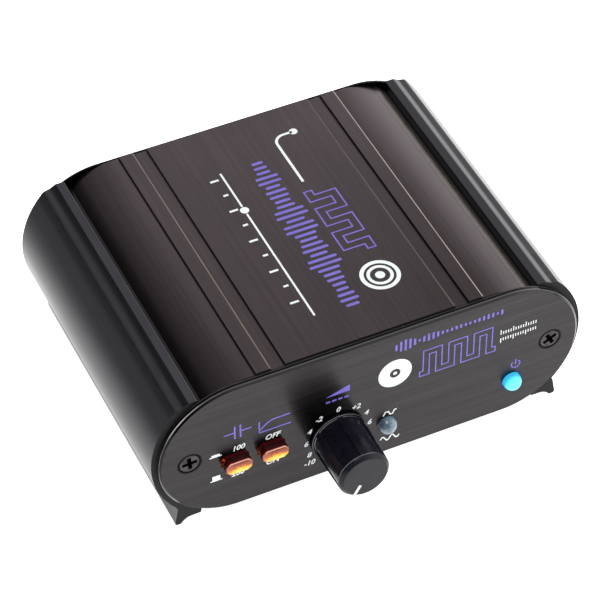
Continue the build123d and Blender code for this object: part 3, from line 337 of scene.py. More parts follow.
# painted highlight: the rim's back edge and the collar behind the flutes are painted bright, most on the upper left
lit = t.remap(t.math("ADD", t.math("MULTIPLY", dx, -0.62), t.math("MULTIPLY", dz, 0.78)), 0.0008, 0.0058, 0.12, 1.0)
front_line = t.math("MULTIPLY", t.remap(y, (Y_F - 15.16) * MM, (Y_F - 15.08) * MM, 0, 1), t.remap(r, 6.93 * MM, 6.98 * MM, 0, 1))
on_collar = t.remap(y, (Y_F - 1.32) * MM, (Y_F - 1.24) * MM, 0, 1)
front_line = t.math("MULTIPLY", front_line, t.math("MULTIPLY", t.remap(y, (Y_F - 14.96) * MM, (Y_F - 14.90) * MM, 1, 0), 0.5))
collar = t.math("ADD", t.math("MULTIPLY", t.remap(r, 7.42 * MM, 7.50 * MM, 0, 0.35), t.remap(y, (Y_F - 1.02) * MM, (Y_F - 0.96) * MM, 1, 0)),
                t.math("MULTIPLY", t.remap(r, 6.84 * MM, 6.90 * MM, 0, 0.9), t.remap(r, 7.02 * MM, 7.10 * MM, 1, 0)))
knob_highlight = t.math("MULTIPLY", lit, t.math("MAXIMUM", front_line, t.math("MULTIPLY", collar, on_collar)))
knob_highlight = t.math("MULTIPLY", knob_highlight, t.remap(b, 0.35, 0.6, 0.55, 1.0))
body = t.ramp(b, [(0.3, (0.0052, 0.0047, 0.0092)), (0.7, (0.0082, 0.0075, 0.0132))])
body = t.mix(knob_highlight, body, (0.55, 0.54, 0.55, 1))
t.set(color=t.mix(face, body, t.ramp(n, [(0.35, (0.019, 0.0186, 0.0212)), (0.65, (0.035, 0.0344, 0.038))])),
      rough=t.math("ADD", t.math("MULTIPLY", face, 0.30), t.remap(b, 0.3, 0.7, 0.22, 0.30)),
      normal=t.bump(t.math("MULTIPLY", n, t.math("ADD", t.math("MULTIPLY", face, 0.9), 0.1)), 0.25, 0.00003), ior=1.27)
MATS["knob_black"] = t.m

# ---------------------------------------------------------------- amber caps: dark red sides, a face in a paler rim, and a painted glow
t = Tree("button_amber")
gx, gy, gz = t.xyz(t.coords("Generated"))
flare = t.noise(t.mapped((9, 3, 6), "Generated"), 1.0, 3.0, 0.6, 0.6)
tongues = t.noise(t.mapped((15, 1, 2.2), "Generated", loc=(4, 0, 2)), 1.0, 2.0, 0.6, 0.4)
spots = t.noise(t.mapped((700, 700, 700), loc=(3, 1, 2)), 1.0, 3.0, 0.6, 1.2)
cx = t.math("ABSOLUTE", t.math("SUBTRACT", gx, 0.5))
cz = t.math("ABSOLUTE", t.math("SUBTRACT", gz, 0.5))
# distance in from the face's outline, mm (the cap is 7.1 by 4.1 mm)
dx = t.math("MULTIPLY", t.math("SUBTRACT", 0.5, cx), 7.1)
dz = t.math("MULTIPLY", t.math("SUBTRACT", 0.5, cz), 4.1)
dd = t.math("MULTIPLY", t.math("SUBTRACT", t.math("ADD", dx, dz), 1.1), 0.7071)
inside = t.math("MINIMUM", t.math("MINIMUM", dx, dz), dd)
on_face = t.remap(gy, 0.0, 0.05, 1, 0)
heart = t.math("MULTIPLY", t.remap(inside, 0.17, 0.26, 0, 1, True), on_face)
# painted light: the face is painted to glow low down, in upright tongues, and emits; above it the face is dull
# red-brown
rise = t.math("ADD", t.math("MULTIPLY", gz, 1.05), t.math("ADD", t.math("MULTIPLY", tongues, 0.75), t.math("MULTIPLY", cx, 0.35)))
glow = t.ramp(rise, [(0.66, c3(255, 232, 120)), (0.80, c3(255, 200, 72)), (0.90, c3(232, 146, 62)), (1.0, c3(196, 104, 60))])
dull = t.ramp(t.math("ADD", gz, t.math("MULTIPLY", flare, 0.3)), [(0.62, c3(178, 100, 74)), (0.95, c3(134, 72, 60)), (1.0, c3(112, 58, 52))])
glow = t.mix(t.remap(rise, 0.93, 1.06, 0, 1), glow, dull)
seams = t.noise(t.mapped((24, 1, 3.0), "Generated", loc=(9, 0, 5)), 1.0, 2.0, 0.5)
glow = t.mix(t.remap(seams, 0.52, 0.66, 0, 0.55), glow, c4(150, 66, 26))
glow = t.mix(t.remap(gx, 0.34, 0.10, 0, 0.45), glow, c4(196, 116, 88))
side_col = t.ramp(t.math("ADD", gy, t.math("MULTIPLY", flare, 0.5)), [(0.15, c3(84, 20, 14)), (0.30, c3(48, 8, 8)), (0.52, c3(22, 3, 6)), (0.72, c3(58, 8, 10))])
# painted highlight: orange glints on the left end near the panel, which also emit
ends = t.math("MULTIPLY", t.remap(gx, 0.04, 0.10, 1, 0), t.math("MULTIPLY", t.remap(gy, 0.26, 0.36, 0, 1), t.remap(gy, 0.48, 0.60, 1, 0)))
painted_glint = t.math("MULTIPLY", t.math("MULTIPLY", t.remap(spots, 0.50, 0.60, 0, 1), ends), t.math("SUBTRACT", 1.0, on_face))
side_col = t.mix(painted_glint, side_col, c4(226, 92, 30))
rim_col = t.ramp(flare, [(0.3, c3(150, 80, 72)), (0.7, c3(206, 132, 118))])
# painted highlight: a pale line along the rim's top edge
rim_col = t.mix(t.math("MULTIPLY", t.remap(gz, 0.80, 0.93, 0, 0.75), t.remap(inside, 0.02, 0.10, 0, 1)), rim_col, c4(244, 190, 172))
col = t.mix(heart, t.mix(on_face, side_col, rim_col), glow)
# painted light: the whole cap emits its own colour: the rim faintly, the sides and the glowing heart strongly, the
# glints most
t.set(color=t.mix(heart, t.mix(on_face, t.mix(0.6, side_col, (0.004, 0.001, 0.001, 1)), rim_col), t.mix(0.75, glow, (0.02, 0.004, 0.002, 1))), rough=t.remap(flare, 0.3, 0.7, 0.26, 0.38), ior=1.2,
      emit=col, emit_s=t.math("ADD", t.math("MULTIPLY", heart, 0.60), t.math("ADD", t.math("MULTIPLY", painted_glint, 0.2), t.math("ADD", 0.35, t.math("MULTIPLY", t.math("SUBTRACT", 1.0, on_face), 0.55)))),
      normal=t.bump(t.math("ADD", t.math("MULTIPLY", flare, 0.3), t.math("MULTIPLY", heart, -1.0)), 0.5, 0.00025))
MATS["button_amber"] = t.m

# ---------------------------------------------------------------- lamps
t = Tree("lamp_clear")
gx, gy, gz = t.xyz(t.coords("Generated"))
n = t.noise(t.mapped((1500, 1500, 1500)), 1.0, 3.0)
b = t.noise(t.mapped((420, 420, 420), loc=(1, 2, 3)), 1.0, 3.0, 0.5, 0.8)
col = t.ramp(b, [(0.32, c3(78, 96, 112)), (0.55, c3(112, 132, 148)), (0.72, c3(168, 186, 196))])
t.set(color=col, rough=t.remap(n, 0.3, 0.7, 0.12, 0.24), ior=1.5, coat=0.6, coat_rough=0.06, normal=t.bump(b, 0.35, 0.00012),
      sub=0.25, sub_r=(0.002, 0.003, 0.004), sub_s=0.4)
MATS["lamp_clear"] = t.m

t = Tree("lamp_blue")
gx, gy, gz = t.xyz(t.coords("Generated"))
r2 = t.math("ADD", t.math("POWER", t.math("MULTIPLY", t.math("SUBTRACT", gx, 0.5), 1.16), 2.0), t.math("POWER", t.math("MULTIPLY", t.math("SUBTRACT", gz, 0.5), 1.16), 2.0))
rad = t.math("SQRT", r2)
b = t.noise(t.mapped((700, 700, 700)), 1.0, 3.0)
lit = t.ramp(t.math("ADD", rad, t.math("MULTIPLY", b, 0.03)), [(0.0, c3(124, 255, 255)), (0.38, c3(112, 252, 255)), (0.46, c3(88, 232, 248)), (0.51, c3(52, 168, 212)), (0.56, c3(26, 104, 170))])
t.set(color=(0.01, 0.12, 0.2, 1), rough=t.remap(b, 0.3, 0.7, 0.3, 0.45), ior=1.4, emit=lit, emit_s=1.15, normal=t.bump(b, 0.1, 0.00005))
MATS["lamp_blue"] = t.m

# ---------------------------------------------------------------- prints
t = Tree("print_purple")
n = t.noise(t.mapped((4200, 4200, 4200)), 1.0, 3.0)
b = t.noise(t.mapped((260, 260, 260), loc=(0, 3, 1)), 1.0, 2.0)
col = t.ramp(t.math("ADD", t.math("MULTIPLY", n, 0.5), t.math("MULTIPLY", b, 0.5)), [(0.3, c3(100, 85, 178)), (0.7, c3(126, 110, 204))])
t.set(color=col, rough=t.remap(n, 0.3, 0.7, 0.42, 0.6), ior=1.45, normal=t.bump(n, 0.2, 0.00001))
MATS["print_purple"] = t.m
t = Tree("print_white")
n = t.noise(t.mapped((4200, 4200, 4200)), 1.0, 3.0)
b = t.noise(t.mapped((260, 260, 260), loc=(4, 3, 1)), 1.0, 2.0)
col = t.ramp(t.math("ADD", t.math("MULTIPLY", n, 0.5), t.math("MULTIPLY", b, 0.5)), [(0.3, c3(224, 230, 230)), (0.7, c3(242, 247, 246))])
t.set(color=col, rough=t.remap(n, 0.3, 0.7, 0.42, 0.6), ior=1.45, normal=t.bump(n, 0.2, 0.00001))
MATS["print_white"] = t.m

# ---------------------------------------------------------------- everything else
t = Tree("black_steel")
x, y, z = t.xyz()
n = t.noise(t.mapped((2600, 2600, 2600)), 1.0, 4.0)
b = t.noise(t.mapped((500, 500, 500), loc=(2, 1, 5)), 1.0, 2.0)
# depth below the head's face at either end: painted shade makes the recess and the flank black
sunk = t.math("MINIMUM", t.math("SUBTRACT", y, Y_F * MM), t.math("SUBTRACT", Y_R * MM, y))
pit = t.remap(sunk, 0.00006, 0.00010, 0, 1)
col = t.mix(pit, t.ramp(b, [(0.3, (0.036, 0.033, 0.034)), (0.7, (0.072, 0.066, 0.067))]), (0.0015, 0.0015, 0.0015, 1))
t.set(color=col, metallic=t.remap(pit, 0.0, 1.0, 1.0, 0.0), rough=t.remap(n, 0.3, 0.7, 0.32, 0.5), ior=1.12, normal=t.bump(n, 0.3, 0.00003))
MATS["black_steel"] = t.m
simple("pointer_white", c3(225, 225, 222), c3(245, 245, 243), (0.35, 0.5), 0.0, 2400)
simple("shaft_metal", (0.45, 0.45, 0.44), (0.62, 0.62, 0.61), (0.25, 0.38), 1.0, 700, (1, 6, 1), 0.2)
simple("pot_plastic", (0.012, 0.012, 0.013), (0.03, 0.03, 0.03), (0.4, 0.6))
simple("pot_metal", (0.42, 0.42, 0.40), (0.6, 0.6, 0.57), (0.25, 0.42), 1.0, 900, (1, 1, 4), 0.2)
simple("pot_track", (0.09, 0.045, 0.02), (0.16, 0.085, 0.04), (0.45, 0.6))
simple("tinned", (0.5, 0.5, 0.49), (0.7, 0.7, 0.68), (0.22, 0.4), 1.0, 1500, bump=0.3)
simple("switch_black", (0.014, 0.014, 0.015), (0.03, 0.03, 0.03), (0.4, 0.58))
simple("switch_white", c3(205, 200, 188), c3(232, 228, 218), (0.35, 0.5))
simple("spring_steel", (0.4, 0.4, 0.41), (0.6, 0.6, 0.6), (0.2, 0.35), 1.0, 1500)
simple("chip_black", (0.01, 0.01, 0.011), (0.026, 0.026, 0.026), (0.45, 0.65), scale=3200, bump=0.35)
simple("film_red", c3(110, 22, 14), c3(150, 40, 24), (0.25, 0.4), coat=0.3)
simple("disc_tan", c3(160, 100, 40), c3(196, 132, 62), (0.25, 0.4), coat=0.4)
simple("jack_black", (0.012, 0.012, 0.013), (0.028, 0.028, 0.029), (0.35, 0.55))
simple("jack_gold", (0.72, 0.46, 0.16), (0.9, 0.62, 0.27), (0.16, 0.3), 1.0, 1100, (1, 3, 1), 0.15)
simple("insulator_white", c3(214, 210, 202), c3(236, 233, 226), (0.35, 0.5))
simple("insulator_red", c3(140, 12, 12), c3(182, 24, 22), (0.3, 0.45))
simple("post_nickel", (0.48, 0.46, 0.42), (0.68, 0.66, 0.62), (0.18, 0.32), 1.0, 1100, (1, 3, 1), 0.2)

# circuit board: green mask over faint copper tracks
t = Tree("board_green")
v = t.mapped((1, 1, 1))
vor = t.node("ShaderNodeTexVoronoi", feature="DISTANCE_TO_EDGE", distance="CHEBYCHEV") if False else t.node("ShaderNodeTexVoronoi", feature="DISTANCE_TO_EDGE")
t.link(v, vor.inputs["Vector"])
vor.inputs["Scale"].default_value = 210
tracks = t.remap(vor.outputs["Distance"], 0.04, 0.10, 1, 0)
n = t.noise(t.mapped((700, 700, 700)), 1.0, 3.0)
col = t.mix(t.math("MULTIPLY", tracks, 0.55), t.ramp(n, [(0.3, (0.006, 0.045, 0.018)), (0.7, (0.010, 0.065, 0.026))]), (0.018, 0.11, 0.045, 1))
t.set(color=col, rough=t.remap(n, 0.3, 0.7, 0.28, 0.42), normal=t.bump(t.math("ADD", t.math("MULTIPLY", tracks, 0.7), t.math("MULTIPLY", n, 0.15)), 0.35, 0.00005))
MATS["board_green"] = t.m

# electrolytic cans: sleeve with a pale stripe, bare top
t = Tree("can_sleeve")
x, y, z = t.xyz()
nn = t.node("ShaderNodeNewGeometry")
nz = t.node("ShaderNodeSeparateXYZ")
t.link(nn.outputs["Normal"], nz.inputs[0])
stripe = t.remap(nz.outputs[0], 0.86, 0.9, 0, 1)
cap = t.remap(nz.outputs[2], 0.6, 0.8, 0, 1)
n = t.noise(t.mapped((900, 900, 900)), 1.0, 3.0)
col = t.mix(stripe, t.ramp(n, [(0.3, (0.008, 0.010, 0.03)), (0.7, (0.014, 0.018, 0.05))]), c4(190, 195, 200))
col = t.mix(cap, col, (0.55, 0.55, 0.56, 1))
t.set(color=col, rough=t.remap(n, 0.3, 0.7, 0.25, 0.4), metallic=t.math("MULTIPLY", cap, 0.9), normal=t.bump(n, 0.1, 0.00003))
MATS["can_sleeve"] = t.m

# axial parts: lacquer with colour bands along Y; the leads are tinned wire
for name, base, stops in (("resistor_blue", c3(96, 150, 178), [(0.0, c3(96, 150, 178)), (0.30, c3(96, 150, 178)), (0.31, c3(120, 60, 20)), (0.37, c3(120, 60, 20)), (0.38, c3(96, 150, 178)), (0.44, c3(96, 150, 178)), (0.45, c3(20, 20, 20)), (0.51, c3(20, 20, 20)), (0.52, c3(96, 150, 178)), (0.60, c3(96, 150, 178)), (0.61, c3(190, 90, 20)), (0.66, c3(190, 90, 20)), (0.67, c3(96, 150, 178))]),
                          ("diode_black", c3(14, 14, 15), [(0.0, c3(14, 14, 15)), (0.62, c3(14, 14, 15)), (0.63, c3(190, 190, 190)), (0.72, c3(190, 190, 190)), (0.73, c3(14, 14, 15))])):
    t = Tree(name)
    x, y, z = t.xyz()
    centre = {"resistor_blue": None, "diode_black": None}[name]
    n = t.noise(t.mapped((1400, 1400, 1400)), 1.0, 3.0)
    lift = t.math("SUBTRACT", z, (ZA - 13.6) * MM)
    # bands repeat along each part's length
    period = 0.0102
    band = t.math("FRACT", t.math("MULTIPLY", t.math("SUBTRACT", y, -0.0469), 1.0 / period))
    col = t.ramp(band, stops)
    wire = t.remap(lift, 0.0002, 0.0003, 1, 0)
    col = t.mix(wire, col, (0.6, 0.6, 0.58, 1))
    t.set(color=col, rough=t.remap(n, 0.3, 0.7, 0.25, 0.4), coat=0.3, coat_rough=0.1, normal=t.bump(n, 0.1, 0.00003))
    MATS[name] = t.m

# ---------------------------------------------------------------- give every CAD node its material
slot_of = {s["node"]: s["material_slot"] for s in frame["record"]["subparts"]}
for node, slot in slot_of.items():
    obj = frame["nodes"][node]
    mat = MATS[slot]
    if obj.material_slots:
        for s in obj.material_slots:
            s.material = mat
    else:
        obj.data.materials.append(mat)


# ------------------------------------------------------------------ return springs: closed end turns
def coil_spring(x0, node, joint):
    y0, z0, radius, wire, n, sides = Y_F + 14.25, ZA - 4.15, 1.0, 0.16, 180, 10
    line = []
    for k in range(n + 1):
        turn = 6.0 * k / n
        a = 2 * pi * turn
        line.append(Vector((x0 + radius * cos(a), y0 + 0.60 * turn + 0.575 * min(max(turn - 1.0, 0.0), 4.0), z0 + radius * sin(a))))
    verts, faces = [], []
    for k, p in enumerate(line):
        out = Vector((p.x - x0, 0, p.z - z0)).normalized()
        along = (line[min(k + 1, n)] - line[max(k - 1, 0)]).normalized()
        up = along.cross(out).normalized()
        for j in range(sides):
            b = 2 * pi * j / sides
            verts.append((p + wire * (out * cos(b) + up * sin(b))) * MM)
    for k in range(n):
        for j in range(sides):
            i, m = k * sides + j, k * sides + (j + 1) % sides
            faces.append((i, m, m + sides, i + sides))
    faces.append(tuple(reversed(range(sides))))
    faces.append(tuple(range(n * sides, n * sides + sides)))
    me = bpy.data.meshes.new(joint + "_return_spring")
    me.from_pydata([tuple(v) for v in verts], [], faces)
    bm = bmesh.new()
    bm.from_mesh(me)
    bmesh.ops.recalc_face_normals(bm, faces=bm.faces)
    for f in bm.faces:
        f.smooth = len(f.verts) == 4
    bm.to_mesh(me)
    bm.free()
    ob = bpy.data.objects.new(joint + "_return_spring", me)
    bpy.context.collection.objects.link(ob)
    me.materials.append(MATS["spring_steel"])
    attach(ob, "chassis")
    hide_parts(node)
    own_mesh(ob)
    return ob


coil_spring(-38.5, "input_cap_switch_spring", "input_cap_press")
coil_spring(-28.5, "filter_switch_spring", "filter_press")

# ------------------------------------------------------------------ printed marks: thin ink films with real thickness
FILM = 0.03


def film(name, faces, where, mat, body="chassis"):
    """faces: lists of 2D loops in mm. where maps (u, v, h) in mm to a point; h is height above the surface."""
    bm = bmesh.new()
    for loop in faces:
        vs = [bm.verts.new(where(u, v, FILM)) for u, v in loop]
        bm.faces.new(vs)
    bmesh.ops.remove_doubles(bm, verts=bm.verts, dist=1e-7)
    top = list(bm.faces)
    out = bmesh.ops.extrude_face_region(bm, geom=top)
    drop = where(0, 0, 0.004) - where(0, 0, FILM)
    bmesh.ops.translate(bm, verts=[g for g in out["geom"] if isinstance(g, bmesh.types.BMVert)], vec=drop)
    bmesh.ops.recalc_face_normals(bm, faces=bm.faces)
    me = bpy.data.meshes.new(name)
    bm.to_mesh(me)
    bm.free()
    ob = bpy.data.objects.new(name, me)
    bpy.context.collection.objects.link(ob)
    me.materials.append(MATS[mat])
    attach(ob, body)
    return ob


def on_front(u, v, h):
    return Vector((u, Y_F - h, ZA + v)) * MM


def on_top(u, v, h):
    """u runs to the back along the case, v to the left: a print read from the right-hand side."""
    return Vector((-v, Y_F + u, ZA + TOP + h)) * MM


def rect(x0, x1, z0, z1):
    return [(x0, z0), (x1, z0), (x1, z1), (x0, z1)]


def pill(cx, cz, w, h, n=6):
    """Bar with round ends, upright if it is taller than wide."""
    r = min(w, h) / 2
    pts = []
    if h >= w:
        for k in range(n + 1):
            a = pi * k / n
            pts.append((cx + r * cos(a), cz + h / 2 - r + r * sin(a)))
        for k in range(n + 1):
            a = pi + pi * k / n
            pts.append((cx + r * cos(a), cz - h / 2 + r + r * sin(a)))
    else:
        for k in range(n + 1):
            a = -pi / 2 + pi * k / n
            pts.append((cx + w / 2 - r + r * cos(a), cz + r * sin(a)))
        for k in range(n + 1):
            a = pi / 2 + pi * k / n
            pts.append((cx - w / 2 + r + r * cos(a), cz + r * sin(a)))
    return pts


def ring(cx, cz, r0, r1, a0=0.0, a1=360.0, n=40):
    """Band between two radii, as quads."""
    out = []
    for k in range(n):
        p, q = radians(a0 + (a1 - a0) * k / n), radians(a0 + (a1 - a0) * (k + 1) / n)
        out.append([(cx + r0 * cos(p), cz + r0 * sin(p)), (cx + r1 * cos(p), cz + r1 * sin(p)),
                    (cx + r1 * cos(q), cz + r1 * sin(q)), (cx + r0 * cos(q), cz + r0 * sin(q))])
    return out


def disc(cx, cz, r, n=32):
    return [[(cx + r * cos(2 * pi * k / n), cz + r * sin(2 * pi * k / n)) for k in range(n)]]


def stroke(pts, w, closed=False):
    """Line of even width along points, with mitred corners, as quads."""
    m = len(pts)
    left, right_ = [], []
    for i in range(m):
        a = Vector(pts[i - 1]) if (closed or i > 0) else None
        b = Vector(pts[i])
        c = Vector(pts[(i + 1) % m]) if (closed or i < m - 1) else None
        d1 = (b - a).normalized() if a is not None else None
        d2 = (c - b).normalized() if c is not None else None
        if d1 is None:
            d1 = d2
        if d2 is None:
            d2 = d1
        n1, n2 = Vector((-d1.y, d1.x)), Vector((-d2.y, d2.x))
        mm = (n1 + n2).normalized()
        k = w / 2 / max(mm.dot(n1), 0.4)
        left.append(b + mm * k)
        right_.append(b - mm * k)
    out = []
    for i in range(m if closed else m - 1):
        j = (i + 1) % m
        out.append([tuple(left[i]), tuple(left[j]), tuple(right_[j]), tuple(right_[i])])
    return out


def numerals(name, items, where, mat, size, shear=0.0, bold=0.0):
    """Plain figures from the built-in typeface, set centred on each point, as thin films."""
    bm = bmesh.new()
    for text, u, v in items:
        cu = bpy.data.curves.new(name + "_tmp", "FONT")
        cu.body = text
        cu.size = size
        cu.shear = shear
        cu.offset = bold
        cu.align_x, cu.align_y = "CENTER", "CENTER"
        cu.resolution_u = 4
        tmp = bpy.data.objects.new(name + "_tmp", cu)
        bpy.context.collection.objects.link(tmp)
        bpy.context.view_layer.update()
        me = bpy.data.meshes.new_from_object(tmp.evaluated_get(bpy.context.evaluated_depsgraph_get()))
        one = bmesh.new()
        one.from_mesh(me)
        bmesh.ops.remove_doubles(one, verts=one.verts, dist=1e-5)
        index = {}
        for p in one.verts:
            index[p] = bm.verts.new(where(u + p.co.x, v + p.co.y, FILM))
        for f in one.faces:
            try:
                bm.faces.new([index[p] for p in f.verts])
            except ValueError:
                pass
        one.free()
        bpy.data.meshes.remove(me)
        bpy.data.objects.remove(tmp)
        bpy.data.curves.remove(cu)
    top = list(bm.faces)
    out = bmesh.ops.extrude_face_region(bm, geom=top)
    drop = where(0, 0, 0.004) - where(0, 0, FILM)
    bmesh.ops.translate(bm, verts=[g for g in out["geom"] if isinstance(g, bmesh.types.BMVert)], vec=drop)
    bmesh.ops.recalc_face_normals(bm, faces=bm.faces)
    me = bpy.data.meshes.new(name)
    bm.to_mesh(me)
    bm.free()
    ob = bpy.data.objects.new(name, me)
    bpy.context.collection.objects.link(ob)
    me.materials.append(MATS[mat])
    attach(ob, "chassis")
    return ob


W, PU = "print_white", "print_purple"
# front: level bars, a disc with a square wave, scale ticks
bars = []
for k in range(24):
    u = 6.2 + 1.3 * k
    h = 0.9 + 3.3 * abs(sin(0.55 * k + 0.4)) * (0.55 + 0.45 * cos(0.21 * k))
    bars.append(pill(u, 16.15, 0.62, h))
film("print_level_bars", bars, on_front, PU)
film("print_disc", ring(6.0, 7.2, 1.5, 4.7) + disc(6.0, 7.2, 0.55, 20), on_front, W)
wave = []
x0, p, amp, th = 13.0, 3.6, 3.6, 1.2
pts = [(x0, 7.2 - amp)]
for k in range(3):
    xs = x0 + 2 * p * k
    pts += [(xs + 0.0, 7.2 - amp)] if k else []
    pts += [(xs + p / 2, 7.2 - amp), (xs + p / 2, 7.2 + amp), (xs + 3 * p / 2, 7.2 + amp), (xs + 3 * p / 2, 7.2 - amp)]
pts += [(x0 + 6 * p, 7.2 - amp)]


def offset_loop(points, d):
    """Outline of a band of half-width d around an open line."""
    quads = stroke(points, 2 * d)
    a = [q[0] for q in quads] + [quads[-1][1]]
    b = [q[3] for q in quads] + [quads[-1][2]]
    return a + b[::-1]


film("print_square_wave", stroke(offset_loop(pts, 0.85), 0.34, True), on_front, PU)
ticks = []
for k in range(15):
    ticks.append(rect(36.0 + 0.72 * k, 36.28 + 0.72 * k, 7.9, 9.5 if k % 5 == 0 else 8.9))
for k in range(15):
    ticks.append(rect(36.0 + 0.72 * k, 36.28 + 0.72 * k, 5.0 if k % 5 == 0 else 5.6, 6.6))
film("print_scale_ticks", ticks, on_front, W)

# over the power lamp: the standard power sign
film("print_power_sign", ring(41.0, -4.95, 1.05, 1.4, -235, 55, 30) + [rect(40.83, 41.17, -5.0, -3.2)], on_front, PU)
# by the signal lamp: a clipped and an unclipped wave
clipped = [(2.9, -7.4), (3.5, -6.2), (4.3, -6.2), (4.9, -7.4), (5.5, -7.4), (6.1, -6.2), (6.7, -6.2)]
sine = [(2.2 + 0.18 * k, -16.1 + 0.75 * sin(2 * pi * k / 15)) for k in range(31)]
film("print_signal_marks", stroke(clipped, 0.38) + stroke(sine, 0.38), on_front, W)

# over the buttons: a capacitor sign and a low-cut curve
cap_sign = [rect(-38.6, -38.15, 3.4, 7.9), rect(-37.05, -36.6, 3.4, 7.9), rect(-41.4, -38.6, 5.45, 5.85), rect(-36.6, -33.8, 5.45, 5.85)]
film("print_capacitor_sign", cap_sign, on_front, PU)
curve = [(-31.6 + 0.3 * k, 3.2 + 2.7 * (1 - (1 - min(1.0, k / 15)) ** 2)) for k in range(29)]
film("print_low_cut_curve", stroke(curve, 0.42) + [rect(-31.9, -31.5, 2.6, 6.4), rect(-31.9, -23.0, 2.3, 2.68)], on_front, PU)
# plain values by the two positions
numerals("print_values", [("100", -37.6, -0.25), ("200", -37.9, -9.5), ("ON", -28.3, -9.5), ("OFF", -28.2, -0.25)], on_front, W, 2.35, 0.25, 0.06)


def step_sign(u, v, up):
    """Sign for a latching button that stands out or in."""
    h = 0.95 if up else 1.85
    return [rect(u, u + 3.3, v, v + 0.36), rect(u + 0.55, u + 2.75, v + 0.36, v + h)]


film("print_position_signs", step_sign(-45.4, -0.9, True) + step_sign(-45.4, -9.7, False), on_front, W)

# over the knob: a rising wedge with a bar under it
film("print_gain_wedge", [[(-13.3, 6.7), (-6.7, 6.7), (-6.7, 8.9)]] + [rect(-13.3 + 1.7 * k, -12.1 + 1.7 * k, 4.6, 5.2 + 0.0 * k) for k in range(4)], on_front, PU)
KX, KZ = -9.97, -7.9
labels = [("0", -9.93, 0.93), ("-2", -15.3, -0.33), ("+2", -4.93, -0.33), ("4", -17.93, -3.77), ("4", -2.0, -3.77),
          ("6", -18.93, -7.9), ("6", -1.07, -7.67), ("8", -18.07, -12.27), ("8", -1.9, -12.2), ("-10", -18.0, -15.27), ("10", -2.6, -15.4)]
numerals("print_dial_numbers", labels, on_front, W, 2.35, 0.25, 0.06)

# ------------------------------------------------------------------ top: a record, an arm line and a sound wave
big = []
for k in range(30):
    u = 13.5 + 2.0 * k
    env = 0.35 + 0.65 * abs(sin(pi * k / 29.0))
    h = 1.6 + 9.0 * env * (0.35 + 0.65 * abs(sin(0.9 * k + 0.5) * cos(0.37 * k)))
    big.append(pill(u, -0.6, 0.95, h))
film("print_top_wave", big, on_top, PU)
# record with open ring gaps
rec = ring(20.0, -11.4, 4.2, 5.3, n=56) + ring(20.0, -11.4, 2.6, 3.5, n=44) + disc(20.0, -11.4, 1.3, 30)
film("print_top_record", rec, on_top, W)
ribbon = [(30.0, -14.0), (33.0, -14.0), (33.0, -8.0), (38.0, -8.0), (38.0, -14.0), (43.0, -14.0), (43.0, -8.0), (48.0, -8.0), (48.0, -14.0), (53.0, -14.0), (53.0, -8.0), (56.0, -8.0)]
film("print_top_ribbon", stroke(offset_loop(ribbon, 1.1), 0.42, True), on_top, PU)
arm = [(60.0, -8.6), (76.0, -8.6)]
for k in range(1, 9):
    a = pi / 2 * k / 8
    arm.append((76.0 + 3.0 * sin(a), -8.6 - 3.0 + 3.0 * cos(a)))
arm.append((79.0, -14.2))
film("print_top_arm_line", stroke(arm, 0.75) + disc(79.0, -14.6, 1.15, 28), on_top, W)
film("print_top_rule", [rect(14.0, 55.0, 9.55, 10.1), rect(58.0, 72.0, 9.55, 10.1)] + disc(56.5, 9.8, 1.2, 28), on_top, W)
film("print_top_marks", [rect(20.0 + 6.2 * k, 20.7 + 6.2 * k, 11.2, 12.6 if k % 2 else 13.6) for k in range(9)], on_top, W)

# ------------------------------------------------------------------ set: pale floor, soft light
bm = bmesh.new()
for vx, vy in ((-1, -1), (1, -1), (1, 1), (-1, 1)):
    bm.verts.new((vx * 6.0, vy * 6.0, 0.0))
bm.faces.new(bm.verts)
me = bpy.data.meshes.new("floor")
bm.to_mesh(me)
bm.free()
floor = bpy.data.objects.new("floor", me)
bpy.context.collection.objects.link(floor)
t = Tree("floor_paper")
n = t.noise(t.mapped((30, 30, 30)), 1.0, 2.0)
x, y, z = t.xyz()
away = t.math("SQRT", t.math("ADD", t.math("MULTIPLY", x, x), t.math("MULTIPLY", y, y)))
# the glow fades to the left of the object and far out all round
to_left = t.math("ADD", t.math("MULTIPLY", t.math("ADD", x, 0.104), -0.933), t.math("MULTIPLY", t.math("ADD", y, 0.044), 0.359))
t.set(color=t.ramp(n, [(0.3, (0.93, 0.93, 0.93)), (0.7, (0.95, 0.95, 0.95))]), rough=0.9, spec=0.1, emit=(1.0, 1.0, 1.0, 1),
      emit_s=t.math("MULTIPLY", t.remap(away, 0.18, 0.6, 0.92, 0.0, True), t.remap(to_left, 0.0, 0.075, 1.0, 0.0, True)))
me.materials.append(t.m)

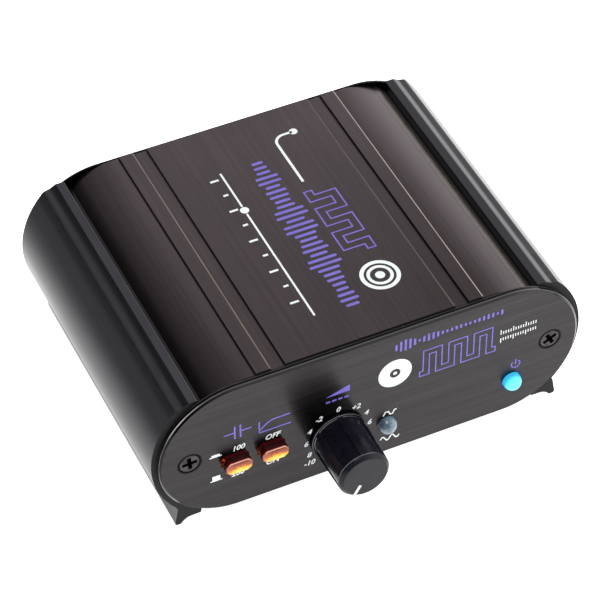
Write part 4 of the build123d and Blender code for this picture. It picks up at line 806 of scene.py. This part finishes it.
world = bpy.data.worlds.new("studio")
bpy.context.scene.world = world
world.use_nodes = True
wt = world.node_tree
bg = wt.nodes["Background"]
tc = wt.nodes.new("ShaderNodeTexCoord")
sep = wt.nodes.new("ShaderNodeSeparateXYZ")
wt.links.new(tc.outputs["Generated"], sep.inputs[0])


def wmath(op, a, b):
    n = wt.nodes.new("ShaderNodeMath")
    n.operation = op
    for i, v in enumerate((a, b)):
        if isinstance(v, bpy.types.NodeSocket):
            wt.links.new(v, n.inputs[i])
        else:
            n.inputs[i].default_value = v
    return n.outputs[0]


# brighter to the right, darker to the left
side = wmath("ADD", wmath("MULTIPLY", sep.outputs[0], 0.75), wmath("MULTIPLY", sep.outputs[2], 0.1))
ramp = wt.nodes.new("ShaderNodeValToRGB")
wt.links.new(wmath("ADD", wmath("MULTIPLY", side, 0.625), 0.5), ramp.inputs[0])
e = ramp.color_ramp.elements
stops = [(-0.62, 0.12), (-0.38, 0.12), (-0.237, 0.28), (-0.055, 0.54), (0.121, 0.72), (0.294, 1.15), (0.436, 1.6), (0.53, 2.1), (0.576, 2.3)]
e[0].position, e[0].color = stops[0][0] * 0.625 + 0.5, (stops[0][1],) * 3 + (1,)
e[1].position, e[1].color = stops[-1][0] * 0.625 + 0.5, (stops[-1][1],) * 3 + (1,)
for at, val in stops[1:-1]:
    m1 = e.new(at * 0.625 + 0.5)
    m1.color = (val, val, val, 1)
wt.links.new(ramp.outputs[0], bg.inputs["Color"])
bg.inputs["Strength"].default_value = 1.0


def area(name, loc, target, size, size_y, power, color=(1, 1, 1)):
    d = bpy.data.lights.new(name, "AREA")
    d.shape = "RECTANGLE"
    d.size, d.size_y, d.energy, d.color = size, size_y, power, color
    ob = bpy.data.objects.new(name, d)
    bpy.context.collection.objects.link(ob)
    ob.location = loc
    ob.rotation_euler = (Vector(target) - Vector(loc)).to_track_quat("-Z", "Y").to_euler()
    return ob


area("key", (-0.45, -0.45, 1.9), (0, 0, 0), 0.7, 0.7, 9)
